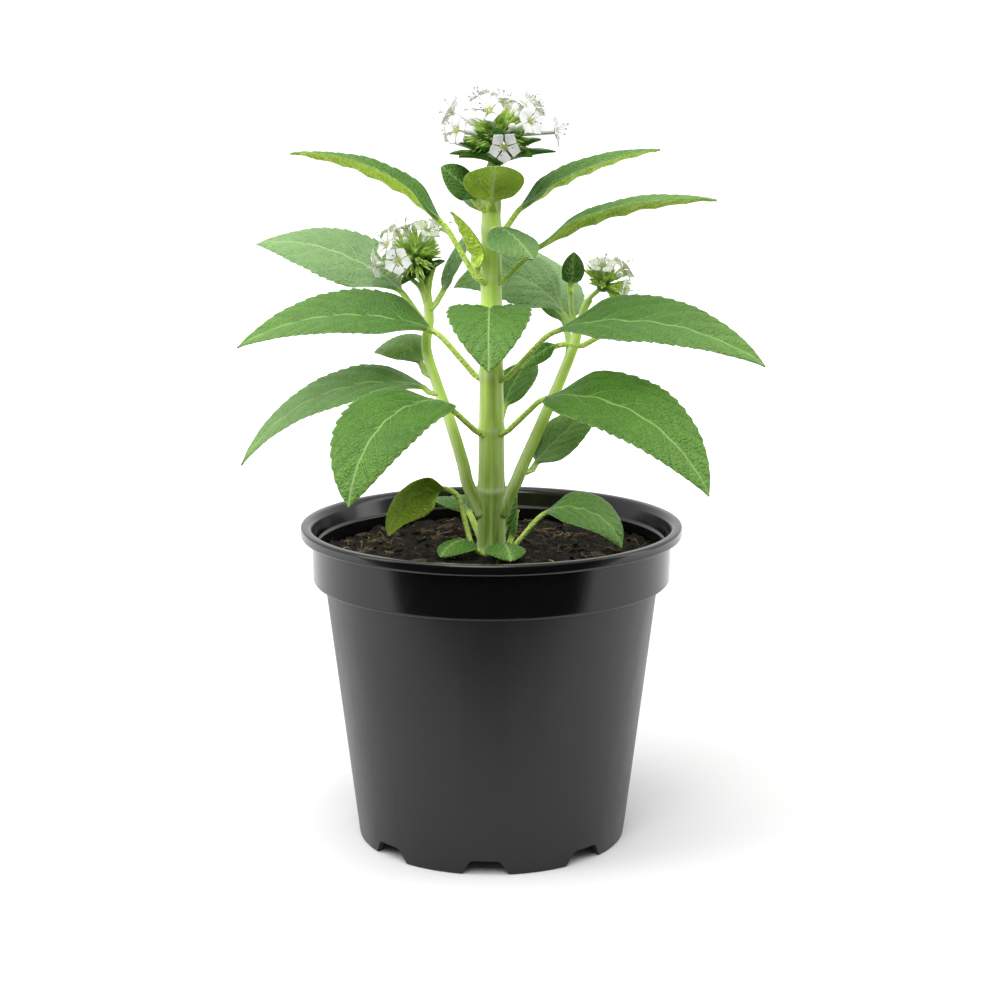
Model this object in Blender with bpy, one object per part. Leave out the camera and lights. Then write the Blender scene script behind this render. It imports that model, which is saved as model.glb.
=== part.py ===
"""Flowering stevia plant growing in a round nursery pot.

Units are metres, +Z is up, and the origin is the middle of the pot's foot. The viewer's side
of the plant is -Y. Leaf and stem sizes in the tables below are in millimetres and degrees.
"""
import math
import random

import bmesh
import bpy
from mathutils import Matrix, Vector, noise

MM = 0.001
CLEARANCE = 0.35

# Pot
RIM_RADIUS = 60.0
RIM_TOP = 101.0
LIP_HEIGHT = 3.4
COLLAR_RADIUS = 56.3
COLLAR_BOTTOM = 83.3
BODY_TOP_RADIUS = 52.6
FOOT_RADIUS = 42.6
WALL = 1.5
FOOT_WALL = 2.4
FLOOR_UNDERSIDE = 5.2
FLOOR_THICKNESS = 1.6
POT_SEGMENTS = 48
NOTCH_COUNT = 8
NOTCH_HEIGHT = 4.7
NOTCH_BOTTOM_WIDTH = 14.6
NOTCH_TOP_WIDTH = 9.0
NOTCH_TURN = -2.5
DRAIN_COUNT = 6
DRAIN_RADIUS = 4.0
DRAIN_RING_RADIUS = 26.0

# Soil
SOIL_TOP = 90.6
SOIL_GAP = 0.5
SOIL_SEGMENTS = 32
SOIL_BUMP = 1.5
STEM_HOLE_DEPTH = 14.0

# Main stem
STEM_TOP = 211.0
STEM_BASE_RADIUS = 4.25
STEM_TOP_RADIUS = 2.6
STEM_SIDES = 12
NODE_SWELLING = 0.10
NODES = {1: 92.6, 2: 111.6, 3: 130.7, 4: 147.7, 5: 167.3, 6: 178.1, 7: 193.1, 8: 200.4}

# Side branches: hand-picked routes for the axis, with the radius at the root and at the end
BRANCHES = {
    "branch_left": {
        "route": ((-7.2, 0.5, 112.6), (-9.0, 2.2, 119.5), (-13.0, 6.5, 132.0), (-16.8, 10.5, 142.0),
                  (-20.6, 14.5, 154.0), (-19.8, 17.5, 163.5), (-21.0, 18.6, 175.2)),
        "radius": (2.2, 1.5),
    },
    "branch_right": {
        "route": ((7.2, 0.5, 112.6), (10.0, 2.4, 119.0), (15.6, 6.8, 131.0), (21.5, 10.8, 144.0),
                  (26.0, 14.2, 155.0), (28.0, 17.0, 163.5)),
        "radius": (2.2, 1.7),
    },
    "twig_right_shoot": {
        "route": ((25.6, 15.4, 165.0), (25.0, 12.8, 168.6), (24.8, 11.2, 172.6)),
        "radius": (0.9, 0.8),
    },
    "twig_right_head": {
        "route": ((29.2, 18.4, 165.2), (30.2, 19.0, 167.2), (31.4, 19.5, 169.2)),
        "radius": (1.1, 1.0),
    },
}
BRANCH_SIDES = 8

# Leaves. on: the stem node or (branch, share of its route) that bears the leaf. azimuth: 0
# points to +X and 90 to +Y, turn is added by the tip. rise, level and dip: slope of the leaf's
# midrib at its root, at the blade's base and at the tip. half: half the blade's width. fold
# lifts both halves into a V, roll lifts the half on the right of a viewer behind the leaf.
LEAF_FIELDS = ("on", "azimuth", "turn", "rise", "level", "dip", "stalk", "blade", "half", "fold", "roll")
LEAVES = {
    "leaf_top_left": (6, 168, 0, 72, 40, 5, 21, 52, 9.5, 32, 2),
    "leaf_top_right": (7, 15, 0, 70, 31, 11, 8, 48, 8.5, 30, -4),
    "leaf_upper_right": (6, -8, 0, 58, 28, 2, 14, 56, 9.0, 30, -6),
    "leaf_upper_left_back": (("branch_left", 0.826), 152, -2, 60, 34, -9, 12, 58, 11.5, 6, 34),
    "leaf_middle_left": (4, 166, 6, 72, 18, -31, 20, 65, 12.0, 15, 30),
    "leaf_middle_right": (4, -12, -2, 72, 16, -33, 22, 66, 12.0, 14, -30),
    "leaf_lower_left_back": (("branch_left", 0.48), 165, 10, 66, 9, -58, 3, 70, 11.0, 10, 26),
    "leaf_lower_left": (3, -150, 36, 72, 5, -73, 18, 52, 14.5, 10, 12),
    "leaf_lower_right": (3, -22, -20, 72, 10, -58, 18, 65, 14.0, 12, -26),
    "leaf_front_heart": (5, -92, 3, 16, 16, -62, 3, 39, 12.6, 11, 0),
    "leaf_front_upper": (7, -66, 12, 10, -5, -40, 2.5, 21, 8.0, -12, -10),
    "leaf_crown_front": (8, -86, 0, 50, 46, 26, 2, 18, 9.5, 10, 0),
    "leaf_crown_back": (8, -166, 0, 60, 50, 38, 2, 14, 6.5, 10, 50),
    "leaf_axil_left": (6, -140, -10, 70, 68, 56, 3, 20, 5.0, 40, 6),
    "leaf_behind_stem": (("branch_right", 0.97), 172, -14, 30, 56, -36, 5, 40, 10.0, 8, 46),
    "leaf_back_right": (("branch_right", 0.84), 104, 18, 40, 56, 30, 10, 30, 10.0, 8, -6),
    "leaf_back_middle": (4, 92, 0, 50, 24, -14, 12, 44, 9.5, 12, 0),
    "leaf_back_upper": (7, 100, 0, 50, 20, -16, 8, 36, 7.0, 12, 0),
    "leaf_back_lower": (3, 66, 0, 55, 44, 10, 8, 26, 7.0, 10, 0),
    "leaf_right_branch_low": (("branch_right", 0.12), 24, -6, 60, 46, 28, 3, 28, 8.0, 8, -26),
    "leaf_right_branch_under": (("branch_right", 0.86), 4, 0, 34, 18, -22, 8, 44, 9.5, 12, -8),
    "leaf_right_branch_small": (("branch_right", 0.84), 178, 0, -6, -20, -50, 3, 14, 4.5, 6, 30),
    "leaf_left_branch_back": (("branch_left", 0.577), 140, 10, 60, 50, -40, 4, 20, 8.6, 8, 20),
    "leaf_left_head": (("branch_left", 0.893), 20, 30, 50, 60, 62, 5, 20, 5.5, 14, 10),
    "leaf_right_shoot": (("twig_right_shoot", 1.0), 20, 0, 84, 84, 84, 1.5, 10, 4.2, 14, -96),
    "leaf_base_left": (1, 176, 24, 138, 8, -84, 22, 26, 9.5, -8, -52),
    "leaf_base_right": (1, -10, -6, 70, 25, -72, 17, 29, 9.0, 8, -24),
    "leaf_base_front_left": (1, -136, 4, 58, 26, -44, 4, 14, 6.5, -6, 0),
    "leaf_base_front_right": (1, -72, -6, 58, 26, -44, 4, 14, 6.5, -6, 0),
    "leaf_base_shoot": (1, 30, -30, 62, 72, 80, 3, 9, 2.7, 6, 0),
    "leaf_base_back": (1, 66, -20, 50, 50, 66, 6, 12, 2.4, 8, 0),
    "leaf_base_behind": (1, 116, 0, 50, 24, -34, 14, 24, 8.0, 8, 0),
}
BLADE_THICKNESS = 0.66
BLADE_GROWTH = 0.2
BLADE_CURL = 0.10
OUTLINE_BASE = 0.55
ROUND_BASES = {"leaf_front_heart": 0.46, "leaf_lower_left": 0.48, "leaf_lower_right": 0.50}
OUTLINE_TIP = 0.95
SLENDER = 0.22
KEEL_DEPTH = 0.5
STALK_HALF_WIDTH = 1.15
STALK_BEND = 0.7
STALK_LIFT = 3.0
STALK_THICKNESS = 1.9
STALK_ROUNDING = 0.72
TIP_HALF_WIDTH = 0.35
TOOTH_PITCH = 6.1
TOOTH_DEPTH = 0.075
TOOTH_LEAN = 0.78
TEETH_START = 0.26
TEETH_END = 0.94
BASE_ROWS = (0.07, 0.16)
WIDE_LANES = (-1.0, -0.52, 0.0, 0.52, 1.0)
NARROW_LANES = (-1.0, 0.0, 1.0)
WIDE_LEAF = 9.8

# Flower heads: where the head sits, the way it faces, its core's radius, how many calyces and
# open florets stand on it, how far around from its axis they reach in degrees, and how much
# longer the florets at the side are
HEADS = {
    "flower_head_top": ((2.0, 0.0, 212.8), (0.0, -0.10, 1.0), 6.6, 22, 13, 103, 0.80),
    "flower_head_left": ((-21.6, 18.6, 177.0), (-0.40, -0.30, 0.86), 5.4, 15, 5, 92, 0.30),
    "flower_head_right": ((32.4, 19.6, 170.2), (0.62, -0.20, 0.72), 3.6, 9, 2, 74, -0.3),
}
CALYX_LENGTH = 6.4
CALYX_RADIUS = 0.95
FLORET_TUBE = 9.5
FLORET_RADIUS = 5.0
PETALS = 5
PETAL_THICKNESS = 0.62
STAR_TURN = 1.12
STAR_CUP = 0.22
SEED = 7

# Bract rosettes: the head they stand under, how many, their length and half their width
BRACTS = {"bracts_top": ("flower_head_top", 8, 16.5, 2.6), "bracts_left": ("flower_head_left", 5, 7.0, 1.8)}
BRACT_ROOT = 1.2
BRACT_RISE = 0.30
BRACT_ARCH = 0.14
BRACT_LENGTHS = (1.0, 0.82, 0.92)
BRACT_LIFTS = (0.0, 0.17, 0.34, 0.51)

PLASTIC = ("pot_plastic", (0.020, 0.020, 0.022), 0.35)
EARTH = ("potting_soil", (0.035, 0.022, 0.014), 0.95)
STEM_GREEN = ("stem_green", (0.36, 0.55, 0.16), 0.55)
LEAF_GREEN = ("leaf_green", (0.10, 0.32, 0.06), 0.50)
BUD_GREEN = ("bract_green", (0.20, 0.42, 0.07), 0.55)
FLORET_WHITE = ("floret_white", (0.90, 0.90, 0.86), 0.60)


def clear_scene():
    for item in list(bpy.data.objects):
        bpy.data.objects.remove(item, do_unlink=True)


def material(spec):
    name, colour, roughness = spec
    found = bpy.data.materials.get(name)
    if found:
        return found
    made = bpy.data.materials.new(name)
    made.use_nodes = True
    shader = made.node_tree.nodes["Principled BSDF"]
    shader.inputs["Base Color"].default_value = (*colour, 1.0)
    shader.inputs["Roughness"].default_value = roughness
    shader.inputs["Metallic"].default_value = 0.0
    return made


def object_from(name, bm, finish, sharp_angle=40.0):
    """Turns a bmesh in millimetres into a smooth-shaded object in metres."""
    bmesh.ops.scale(bm, vec=(MM, MM, MM), verts=bm.verts)
    bmesh.ops.recalc_face_normals(bm, faces=bm.faces)
    mesh = bpy.data.meshes.new(name)
    bm.to_mesh(mesh)
    bm.free()
    mesh.shade_smooth()
    mesh.set_sharp_from_angle(angle=math.radians(sharp_angle))
    mesh.materials.append(material(finish))
    item = bpy.data.objects.new(name, mesh)
    bpy.context.scene.collection.objects.link(item)
    return item


def cut(item, cutter):
    """Takes a hidden guide solid out of an object."""
    cutter.hide_render = True
    cutter.display_type = "WIRE"
    step = item.modifiers.new("cut_" + cutter.name, "BOOLEAN")
    step.operation = "DIFFERENCE"
    step.object = cutter


def turned(profile, segments):
    """Spins an open profile of (radius, height) that starts and ends on the axis."""
    bm = bmesh.new()
    points = [bm.verts.new((radius, 0.0, height)) for radius, height in profile]
    edges = [bm.edges.new(pair) for pair in zip(points, points[1:])]
    bmesh.ops.spin(bm, geom=points + edges, cent=(0, 0, 0), axis=(0, 0, 1),
                   angle=2 * math.pi, steps=segments, use_merge=True)
    bmesh.ops.remove_doubles(bm, verts=bm.verts, dist=0.001)
    return bm


def body_radius(height):
    """Outer radius of the pot's tapered wall."""
    return FOOT_RADIUS + (BODY_TOP_RADIUS - FOOT_RADIUS) * height / COLLAR_BOTTOM


def make_pot():
    floor_top = FLOOR_UNDERSIDE + FLOOR_THICKNESS
    lip_bottom = RIM_TOP - LIP_HEIGHT
    profile = (
        (0.0, FLOOR_UNDERSIDE),
        (FOOT_RADIUS - FOOT_WALL, FLOOR_UNDERSIDE),
        (FOOT_RADIUS - FOOT_WALL, 0.0),
        (FOOT_RADIUS - 0.4, 0.0),
        (body_radius(0.6), 0.6),
        (body_radius(COLLAR_BOTTOM), COLLAR_BOTTOM + 0.3),
        (COLLAR_RADIUS - 0.9, COLLAR_BOTTOM),
        (COLLAR_RADIUS - 0.2, COLLAR_BOTTOM + 0.8),
        (COLLAR_RADIUS + 0.2, lip_bottom),
        (RIM_RADIUS - 0.7, lip_bottom),
        (RIM_RADIUS, lip_bottom + 0.8),
        (RIM_RADIUS, RIM_TOP - 0.7),
        (RIM_RADIUS - 0.7, RIM_TOP),
        (RIM_RADIUS - 2.6, RIM_TOP),
        (RIM_RADIUS - 3.8, RIM_TOP - 1.0),
        (COLLAR_RADIUS - WALL + 0.5, RIM_TOP - 6.0),
        (COLLAR_RADIUS - WALL - 0.3, RIM_TOP - 6.6),
        (COLLAR_RADIUS - WALL - 0.3, COLLAR_BOTTOM + 2.0),
        (body_radius(COLLAR_BOTTOM) - WALL, COLLAR_BOTTOM + 1.2),
        (body_radius(floor_top) - WALL, floor_top),
        (0.0, floor_top),
    )
    pot = object_from("pot", turned(profile, POT_SEGMENTS), PLASTIC, 30.0)
    cut(pot, make_notch_cutter())
    cut(pot, make_drain_cutter())
    return pot


def make_notch_cutter():
    """Eight trapezoid wedges that leave the pot standing on eight feet."""
    bm = bmesh.new()
    middle = FOOT_RADIUS - FOOT_WALL / 2
    for index in range(NOTCH_COUNT):
        made = bmesh.ops.create_cube(bm, size=1.0)["verts"]
        for vert in made:
            top = vert.co.z > 0
            width = NOTCH_TOP_WIDTH if top else NOTCH_BOTTOM_WIDTH + 2.0
            height = NOTCH_HEIGHT if top else -1.5
            vert.co = Vector((vert.co.x * width, middle + vert.co.y * (FOOT_WALL + 6.0), height))
        turn = math.radians(NOTCH_TURN + 360 / NOTCH_COUNT * index)
        bmesh.ops.rotate(bm, verts=made, cent=(0, 0, 0), matrix=Matrix.Rotation(math.pi + turn, 3, "Z"))
    return object_from("cutter_notches", bm, PLASTIC)


def make_drain_cutter():
    bm = bmesh.new()
    for index in range(DRAIN_COUNT):
        turn = 2 * math.pi * index / DRAIN_COUNT
        place = Matrix.Translation((DRAIN_RING_RADIUS * math.cos(turn), DRAIN_RING_RADIUS * math.sin(turn),
                                    FLOOR_UNDERSIDE))
        bmesh.ops.create_cone(bm, cap_ends=True, segments=14, radius1=DRAIN_RADIUS,
                              radius2=DRAIN_RADIUS, depth=8.0, matrix=place)
    return object_from("cutter_drains", bm, PLASTIC)


def soil_height(x, y):
    """Crumbly surface: two sizes of lump on a gentle mound round the stem."""
    radius = math.hypot(x, y)
    lumps = noise.noise(Vector((x * 0.11, y * 0.11, 3.1)))
    crumbs = noise.noise(Vector((x * 0.31, y * 0.31, 8.7)))
    mound = 0.8 * math.cos(min(radius / 50.0, 1.0) * math.pi / 2)
    return SOIL_TOP + mound + SOIL_BUMP * lumps + 0.55 * SOIL_BUMP * crumbs


def make_soil():
    floor_top = FLOOR_UNDERSIDE + FLOOR_THICKNESS
    hole = STEM_BASE_RADIUS * (1 + NODE_SWELLING) + CLEARANCE + 0.5
    edge = COLLAR_RADIUS - WALL - 0.3 - SOIL_GAP
    rings = [hole + (edge - hole) * share for share in (0.0, 0.09, 0.2, 0.32, 0.45, 0.58, 0.71, 0.83, 0.93, 1.0)]
    profile = [(0.0, SOIL_TOP - STEM_HOLE_DEPTH), (hole, SOIL_TOP - STEM_HOLE_DEPTH)]
    profile += [(ring, SOIL_TOP) for ring in rings]
    profile += [
        (edge, COLLAR_BOTTOM + 2.9),
        (body_radius(COLLAR_BOTTOM) - WALL - SOIL_GAP, COLLAR_BOTTOM + 1.9),
        (body_radius(floor_top) - WALL - SOIL_GAP, floor_top + SOIL_GAP),
        (0.0, floor_top + SOIL_GAP),
    ]
    bm = turned(profile, SOIL_SEGMENTS)
    for vert in bm.verts:
        if abs(vert.co.z - SOIL_TOP) < 0.01:
            vert.co.z = soil_height(vert.co.x, vert.co.y)
    bmesh.ops.triangulate(bm, faces=bm.faces)
    return object_from("soil", bm, EARTH, 60.0)


def smooth_route(points, steps):
    """Catmull-Rom curve through hand-picked points, read at even shares of its length."""
    knots = [Vector(point) for point in points]
    knots = [2 * knots[0] - knots[1], *knots, 2 * knots[-1] - knots[-2]]
    dense = []
    for a, b, c, d in zip(knots, knots[1:], knots[2:], knots[3:]):
        for part in range(12):
            t = part / 12
            dense.append(0.5 * (2 * b + (c - a) * t + (2 * a - 5 * b + 4 * c - d) * t * t
                                + (3 * b - a - 3 * c + d) * t ** 3))
    dense.append(knots[-2])
    lengths = [0.0]
    for a, b in zip(dense, dense[1:]):
        lengths.append(lengths[-1] + (b - a).length)
    route = []
    for step in range(steps + 1):
        target = lengths[-1] * step / steps
        index = max(i for i, value in enumerate(lengths) if value <= target + 1e-9)
        index = min(index, len(dense) - 2)
        span = lengths[index + 1] - lengths[index]
        route.append(dense[index].lerp(dense[index + 1], (target - lengths[index]) / span))
    return route


def tube(name, centres, radii, sides, rib, finish):
    """Sweeps a ribbed ring along centres and caps both ends."""
    bm = bmesh.new()
    axis = (centres[1] - centres[0]).normalized()
    side = axis.orthogonal().normalized() if abs(axis.z) < 0.999 else Vector((1, 0, 0))
    ring = []
    for index, (centre, radius) in enumerate(zip(centres, radii)):
        before = centres[max(index - 1, 0)]
        after = centres[min(index + 1, len(centres) - 1)]
        axis = (after - before).normalized()
        side = (side - axis * side.dot(axis)).normalized()
        other = axis.cross(side)
        if index == 0:
            ring = bmesh.ops.create_circle(bm, segments=sides, radius=1.0)["verts"]
        else:
            edges = [bm.edges.get((a, b)) for a, b in zip(ring, ring[1:] + ring[:1])]
            grown = bmesh.ops.extrude_edge_only(bm, edges=edges)["geom"]
            fresh = {item for item in grown if isinstance(item, bmesh.types.BMVert)}
            ring = [next(edge.other_vert(old) for edge in old.link_edges if edge.other_vert(old) in fresh)
                    for old in ring]
        for number, vert in enumerate(ring):
            angle = 2 * math.pi * number / sides
            reach = radius * (1 + rib * math.cos(4 * angle))
            vert.co = centre + reach * (side * math.cos(angle) + other * math.sin(angle))
    bmesh.ops.holes_fill(bm, edges=[edge for edge in bm.edges if edge.is_boundary])
    return object_from(name, bm, finish, 35.0)


def stem_radius(height):
    share = (height - NODES[1]) / (STEM_TOP - NODES[1])
    return STEM_BASE_RADIUS + (STEM_TOP_RADIUS - STEM_BASE_RADIUS) * max(share, -0.1)


def swollen_radius(height):
    """Stem radius with the ring-like swelling at each leaf node."""
    nearest = min(abs(height - node) for node in NODES.values())
    return stem_radius(height) * (1 + NODE_SWELLING * max(0.0, 1 - nearest / 3.0))


def make_main_stem():
    heights = {SOIL_TOP - STEM_HOLE_DEPTH + 0.5, STEM_TOP}
    for node in NODES.values():
        heights.update((node - 3.0, node, node + 3.0))
    marks = sorted(heights)
    filled = []
    for low, high in zip(marks, marks[1:]):
        filled.append(low)
        if high - low > 9.0:
            filled.append((low + high) / 2)
    filled.append(marks[-1])
    centres = [Vector((0, 0, height)) for height in filled]
    radii = [swollen_radius(height) for height in filled]
    return tube("main_stem", centres, radii, STEM_SIDES, 0.06, STEM_GREEN)


def branch_steps(name):
    return 4 if name.startswith("twig") else 15


def branch_point(name, share):
    """Centre, direction and radius of a branch at a share of its length."""
    spec = BRANCHES[name]
    route = smooth_route(spec["route"], branch_steps(name))
    place = share * (len(route) - 1)
    index = min(int(place), len(route) - 2)
    centre = route[index].lerp(route[index + 1], place - index)
    axis = (route[index + 1] - route[index]).normalized()
    low, high = spec["radius"]
    return centre, axis, low + (high - low) * share


def make_branches():
    for name, spec in BRANCHES.items():
        route = smooth_route(spec["route"], branch_steps(name))
        low, high = spec["radius"]
        count = len(route) - 1
        radii = [low + (high - low) * index / count for index in range(count + 1)]
        tube(name, route, radii, BRANCH_SIDES, 0.04, STEM_GREEN)


def heading(azimuth, slope):
    azimuth = math.radians(azimuth)
    slope = math.radians(slope)
    return Vector((math.cos(slope) * math.cos(azimuth), math.cos(slope) * math.sin(azimuth), math.sin(slope)))


def leaf_root(leaf):
    """A point just clear of the surface of the stem or branch that bears the leaf."""
    on = leaf["on"]
    flat = heading(leaf["azimuth"], 0.0)
    lean = CLEARANCE + STALK_THICKNESS / 2 * abs(math.sin(math.radians(leaf["rise"]))) + 0.1
    if isinstance(on, int):
        height = NODES[on]
        return Vector((0, 0, height)) + flat * (swollen_radius(height) * 1.07 + lean)
    centre, axis, radius = branch_point(*on)
    if on[1] == 1.0:
        return centre + axis * (CLEARANCE + 0.5)
    out = (flat - axis * flat.dot(axis)).normalized()
    return centre + out * (radius * 1.05 + lean)


def leaf_midrib(leaf, marks):
    """Centre line and heading at each distance in marks."""
    total = leaf["stalk"] + leaf["blade"]
    step = 0.25
    place = leaf_root(leaf)
    walked = 0.0
    line = []
    for mark in marks:
        while walked < mark - 1e-9:
            stride = min(step, mark - walked)
            place = place + heading(*leaf_slope(leaf, walked + stride / 2, total)) * stride
            walked += stride
        line.append((place, heading(*leaf_slope(leaf, mark, total))))
    return line


def leaf_slope(leaf, distance, total):
    """Azimuth and slope at a distance: a straight stalk that bends into the blade's own slope."""
    azimuth = leaf["azimuth"] + leaf["turn"] * distance / total
    if distance < leaf["stalk"]:
        straight = (leaf["rise"] + leaf["level"]) / 2 + STALK_LIFT
        share = max(0.0, distance / leaf["stalk"] - STALK_BEND) / (1 - STALK_BEND)
        return azimuth, straight + (leaf["level"] - straight) * share
    share = (distance - leaf["stalk"]) / leaf["blade"]
    return azimuth, leaf["level"] + (leaf["dip"] - leaf["level"]) * share


def blade_outline(leaf, share):
    """Half width at a share of the blade from base (0) to tip (1); round leaves get a blunter tip."""
    taper = max(0.6, OUTLINE_TIP - 0.9 * max(0.0, leaf["half"] / leaf["blade"] - SLENDER))
    swell = leaf["base"]
    widest = swell / (swell + taper)
    peak = widest ** swell * (1 - widest) ** taper
    return leaf["half"] * share ** swell * (1 - share) ** taper / peak


def leaf_stations(leaf):
    """Distances along the leaf with the half width there; teeth lie on the outer blade."""
    stalk, blade = leaf["stalk"], leaf["blade"]
    stations = [
        (0.0, STALK_HALF_WIDTH * 1.15),
        (stalk * 0.5, STALK_HALF_WIDTH * 0.92),
        (stalk * 0.97, STALK_HALF_WIDTH),
    ]
    for share in BASE_ROWS:
        stations.append((stalk + blade * share, blade_outline(leaf, share)))
    teeth = max(3, min(7, round(blade / TOOTH_PITCH)))
    pitch = (TEETH_END - TEETH_START) / teeth
    for tooth in range(teeth):
        notch = TEETH_START + pitch * tooth
        point = notch + pitch * TOOTH_LEAN
        stations.append((stalk + blade * notch, blade_outline(leaf, notch)))
        stations.append((stalk + blade * point, blade_outline(leaf, point) * (1 + TOOTH_DEPTH)))
    stations.append((stalk + blade, TIP_HALF_WIDTH))
    return stations


def make_leaf(name, leaf):
    """One leaf on its stalk: a thin sheet bent along its midrib, with a keel under the rib."""
    stations = leaf_stations(leaf)
    line = leaf_midrib(leaf, [distance for distance, half in stations])
    rows = len(stations)
    marks = WIDE_LANES if leaf["half"] > WIDE_LEAF else NARROW_LANES
    lanes = len(marks)
    bm = bmesh.new()
    bmesh.ops.create_grid(bm, x_segments=rows - 1, y_segments=lanes - 1, size=1.0)
    slot = {}
    for vert in bm.verts:
        row = round((vert.co.x + 1) / 2 * (rows - 1))
        lane = round((vert.co.y + 1) / 2 * (lanes - 1))
        slot[vert] = (row, lane)
    bmesh.ops.triangulate(bm, faces=bm.faces, quad_method="FIXED")
    upper = list(bm.verts)
    grown = bmesh.ops.extrude_face_region(bm, geom=list(bm.faces), use_keep_orig=True)["geom"]
    lower = [item for item in grown if isinstance(item, bmesh.types.BMVert)]
    where = {tuple(round(value, 5) for value in vert.co): slot[vert] for vert in upper}
    for vert in lower:
        slot[vert] = where[tuple(round(value, 5) for value in vert.co)]
    for below, group in ((False, upper), (True, lower)):
        for vert in group:
            row, lane = slot[vert]
            vert.co = leaf_point(leaf, stations[row], line[row], marks[lane], below)
    return object_from(name, bm, LEAF_GREEN, 50.0)


def leaf_point(leaf, station, rib, across, below):
    """A point of the leaf's upper or lower side; across runs from -1 to 1 over its width."""
    distance, half = station
    centre, ahead = rib
    share = (distance - leaf["stalk"]) / leaf["blade"]
    grown = max(0.0, min(1.0, share / BLADE_GROWTH))
    azimuth = leaf_slope(leaf, distance, leaf["stalk"] + leaf["blade"])[0]
    side = heading(azimuth - 90, 0.0)
    normal = side.cross(ahead).normalized()
    roll = math.radians(leaf["roll"]) * grown
    side, normal = (side * math.cos(roll) + normal * math.sin(roll),
                    normal * math.cos(roll) - side * math.sin(roll))
    fold = math.radians(leaf["fold"]) * grown
    spread = half * across * math.cos(fold)
    lift = half * abs(across) * math.sin(fold) - BLADE_CURL * half * across * across * grown
    stalk_depth = STALK_THICKNESS * math.sqrt(1 - STALK_ROUNDING * across * across)
    depth = stalk_depth + (BLADE_THICKNESS - stalk_depth) * grown
    keel = KEEL_DEPTH * max(0.0, 1 - 3 * abs(across)) * grown * (1 - 0.8 * share)
    offset = -depth / 2 - keel if below else depth / 2
    return centre + side * spread + normal * (lift + offset)


def make_leaves():
    for name, row in LEAVES.items():
        leaf = dict(zip(LEAF_FIELDS, row))
        leaf["base"] = ROUND_BASES.get(name, OUTLINE_BASE)
        make_leaf(name, leaf)


def frame_along(direction):
    """Rotation that takes +Z onto a direction."""
    return Vector((0, 0, 1)).rotation_difference(Vector(direction).normalized()).to_matrix()


def head_directions(count, reach, rng):
    """Directions spread evenly over a cap by the golden angle, with a little scatter."""
    directions = []
    limit = math.cos(math.radians(reach))
    for index in range(count):
        height = 1 - (1 - limit) * (index + 0.5) / count
        angle = index * math.pi * (3 - math.sqrt(5)) + rng.uniform(-0.12, 0.12)
        radius = math.sqrt(max(0.0, 1 - height * height))
        directions.append(Vector((radius * math.cos(angle), radius * math.sin(angle), height)))
    return directions


def add_calyx(bm, direction, core, rng):
    """A pointed green bud cup, widest a third of the way up."""
    length = CALYX_LENGTH * rng.uniform(0.85, 1.15)
    made = bmesh.ops.create_cone(bm, cap_ends=True, segments=4, radius1=CALYX_RADIUS * 0.6,
                                 radius2=CALYX_RADIUS, depth=length * 0.5)["verts"]
    bmesh.ops.translate(bm, verts=made, vec=(0, 0, core * 0.55 + length * 0.25))
    top = [face for face in {face for vert in made for face in vert.link_faces}
           if face.calc_center_median().z > core * 0.55 + length * 0.45]
    tip = bmesh.ops.poke(bm, faces=top)["verts"]
    for vert in tip:
        vert.co.z += length * 0.5
    bmesh.ops.rotate(bm, verts=made + tip, cent=(0, 0, 0), matrix=frame_along(direction))


def petal_reach(angle):
    """Distance from the floret's middle to its edge: five round lobes."""
    lobe = abs(math.cos(PETALS * angle / 2))
    return FLORET_RADIUS * (0.34 + 0.66 * lobe ** 0.55)


def add_floret_tube(bm, direction, core, length):
    """The slim tube that lifts a floret's star off the core."""
    made = bmesh.ops.create_cone(bm, cap_ends=True, segments=4, radius1=0.6, radius2=1.0,
                                 depth=length)["verts"]
    bmesh.ops.translate(bm, verts=made, vec=(0, 0, core * 0.4 + length / 2))
    bmesh.ops.rotate(bm, verts=made, cent=(0, 0, 0), matrix=frame_along(direction))


def add_floret_star(bm, direction, core, length, turn):
    """A shallow cup of five round white petals at the end of its tube."""
    height = core * 0.4 + length - 0.35
    star = bmesh.ops.create_circle(bm, cap_ends=True, cap_tris=True, segments=PETALS * 4, radius=1.0)["verts"]
    faces = list({face for vert in star for face in vert.link_faces})
    grown = bmesh.ops.extrude_face_region(bm, geom=faces, use_keep_orig=True)["geom"]
    above = [item for item in grown if isinstance(item, bmesh.types.BMVert)]
    for raised, group in ((0.0, star), (PETAL_THICKNESS, above)):
        for vert in group:
            angle = math.atan2(vert.co.y, vert.co.x)
            reach = petal_reach(angle) if vert.co.length > 0.1 else 0.0
            vert.co = Vector((reach * math.cos(angle + turn), reach * math.sin(angle + turn),
                              height + raised + STAR_CUP * reach))
    bmesh.ops.rotate(bm, verts=bm.verts, cent=(0, 0, 0), matrix=frame_along(direction))


def fuse(name, base, pieces, finish):
    """Joins loose closed shapes to a base by one Boolean union and applies it."""
    group = bpy.data.collections.new(name + "_pieces")
    bpy.context.scene.collection.children.link(group)
    for piece in pieces:
        bpy.context.scene.collection.objects.unlink(piece)
        group.objects.link(piece)
    step = base.modifiers.new("union", "BOOLEAN")
    step.operation = "UNION"
    step.operand_type = "COLLECTION"
    step.collection = group
    step.solver = "MANIFOLD"
    bpy.context.view_layer.update()
    shape = bpy.data.meshes.new_from_object(base.evaluated_get(bpy.context.evaluated_depsgraph_get()))
    base.modifiers.clear()
    base.data = shape
    for piece in list(group.objects):
        bpy.data.objects.remove(piece, do_unlink=True)
    bpy.data.collections.remove(group)
    base.name = name
    shape.materials.clear()
    shape.materials.append(material(finish))
    return base


def loose_piece(name, build, *values):
    bm = bmesh.new()
    build(bm, *values)
    return object_from(name, bm, FLORET_WHITE)


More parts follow.
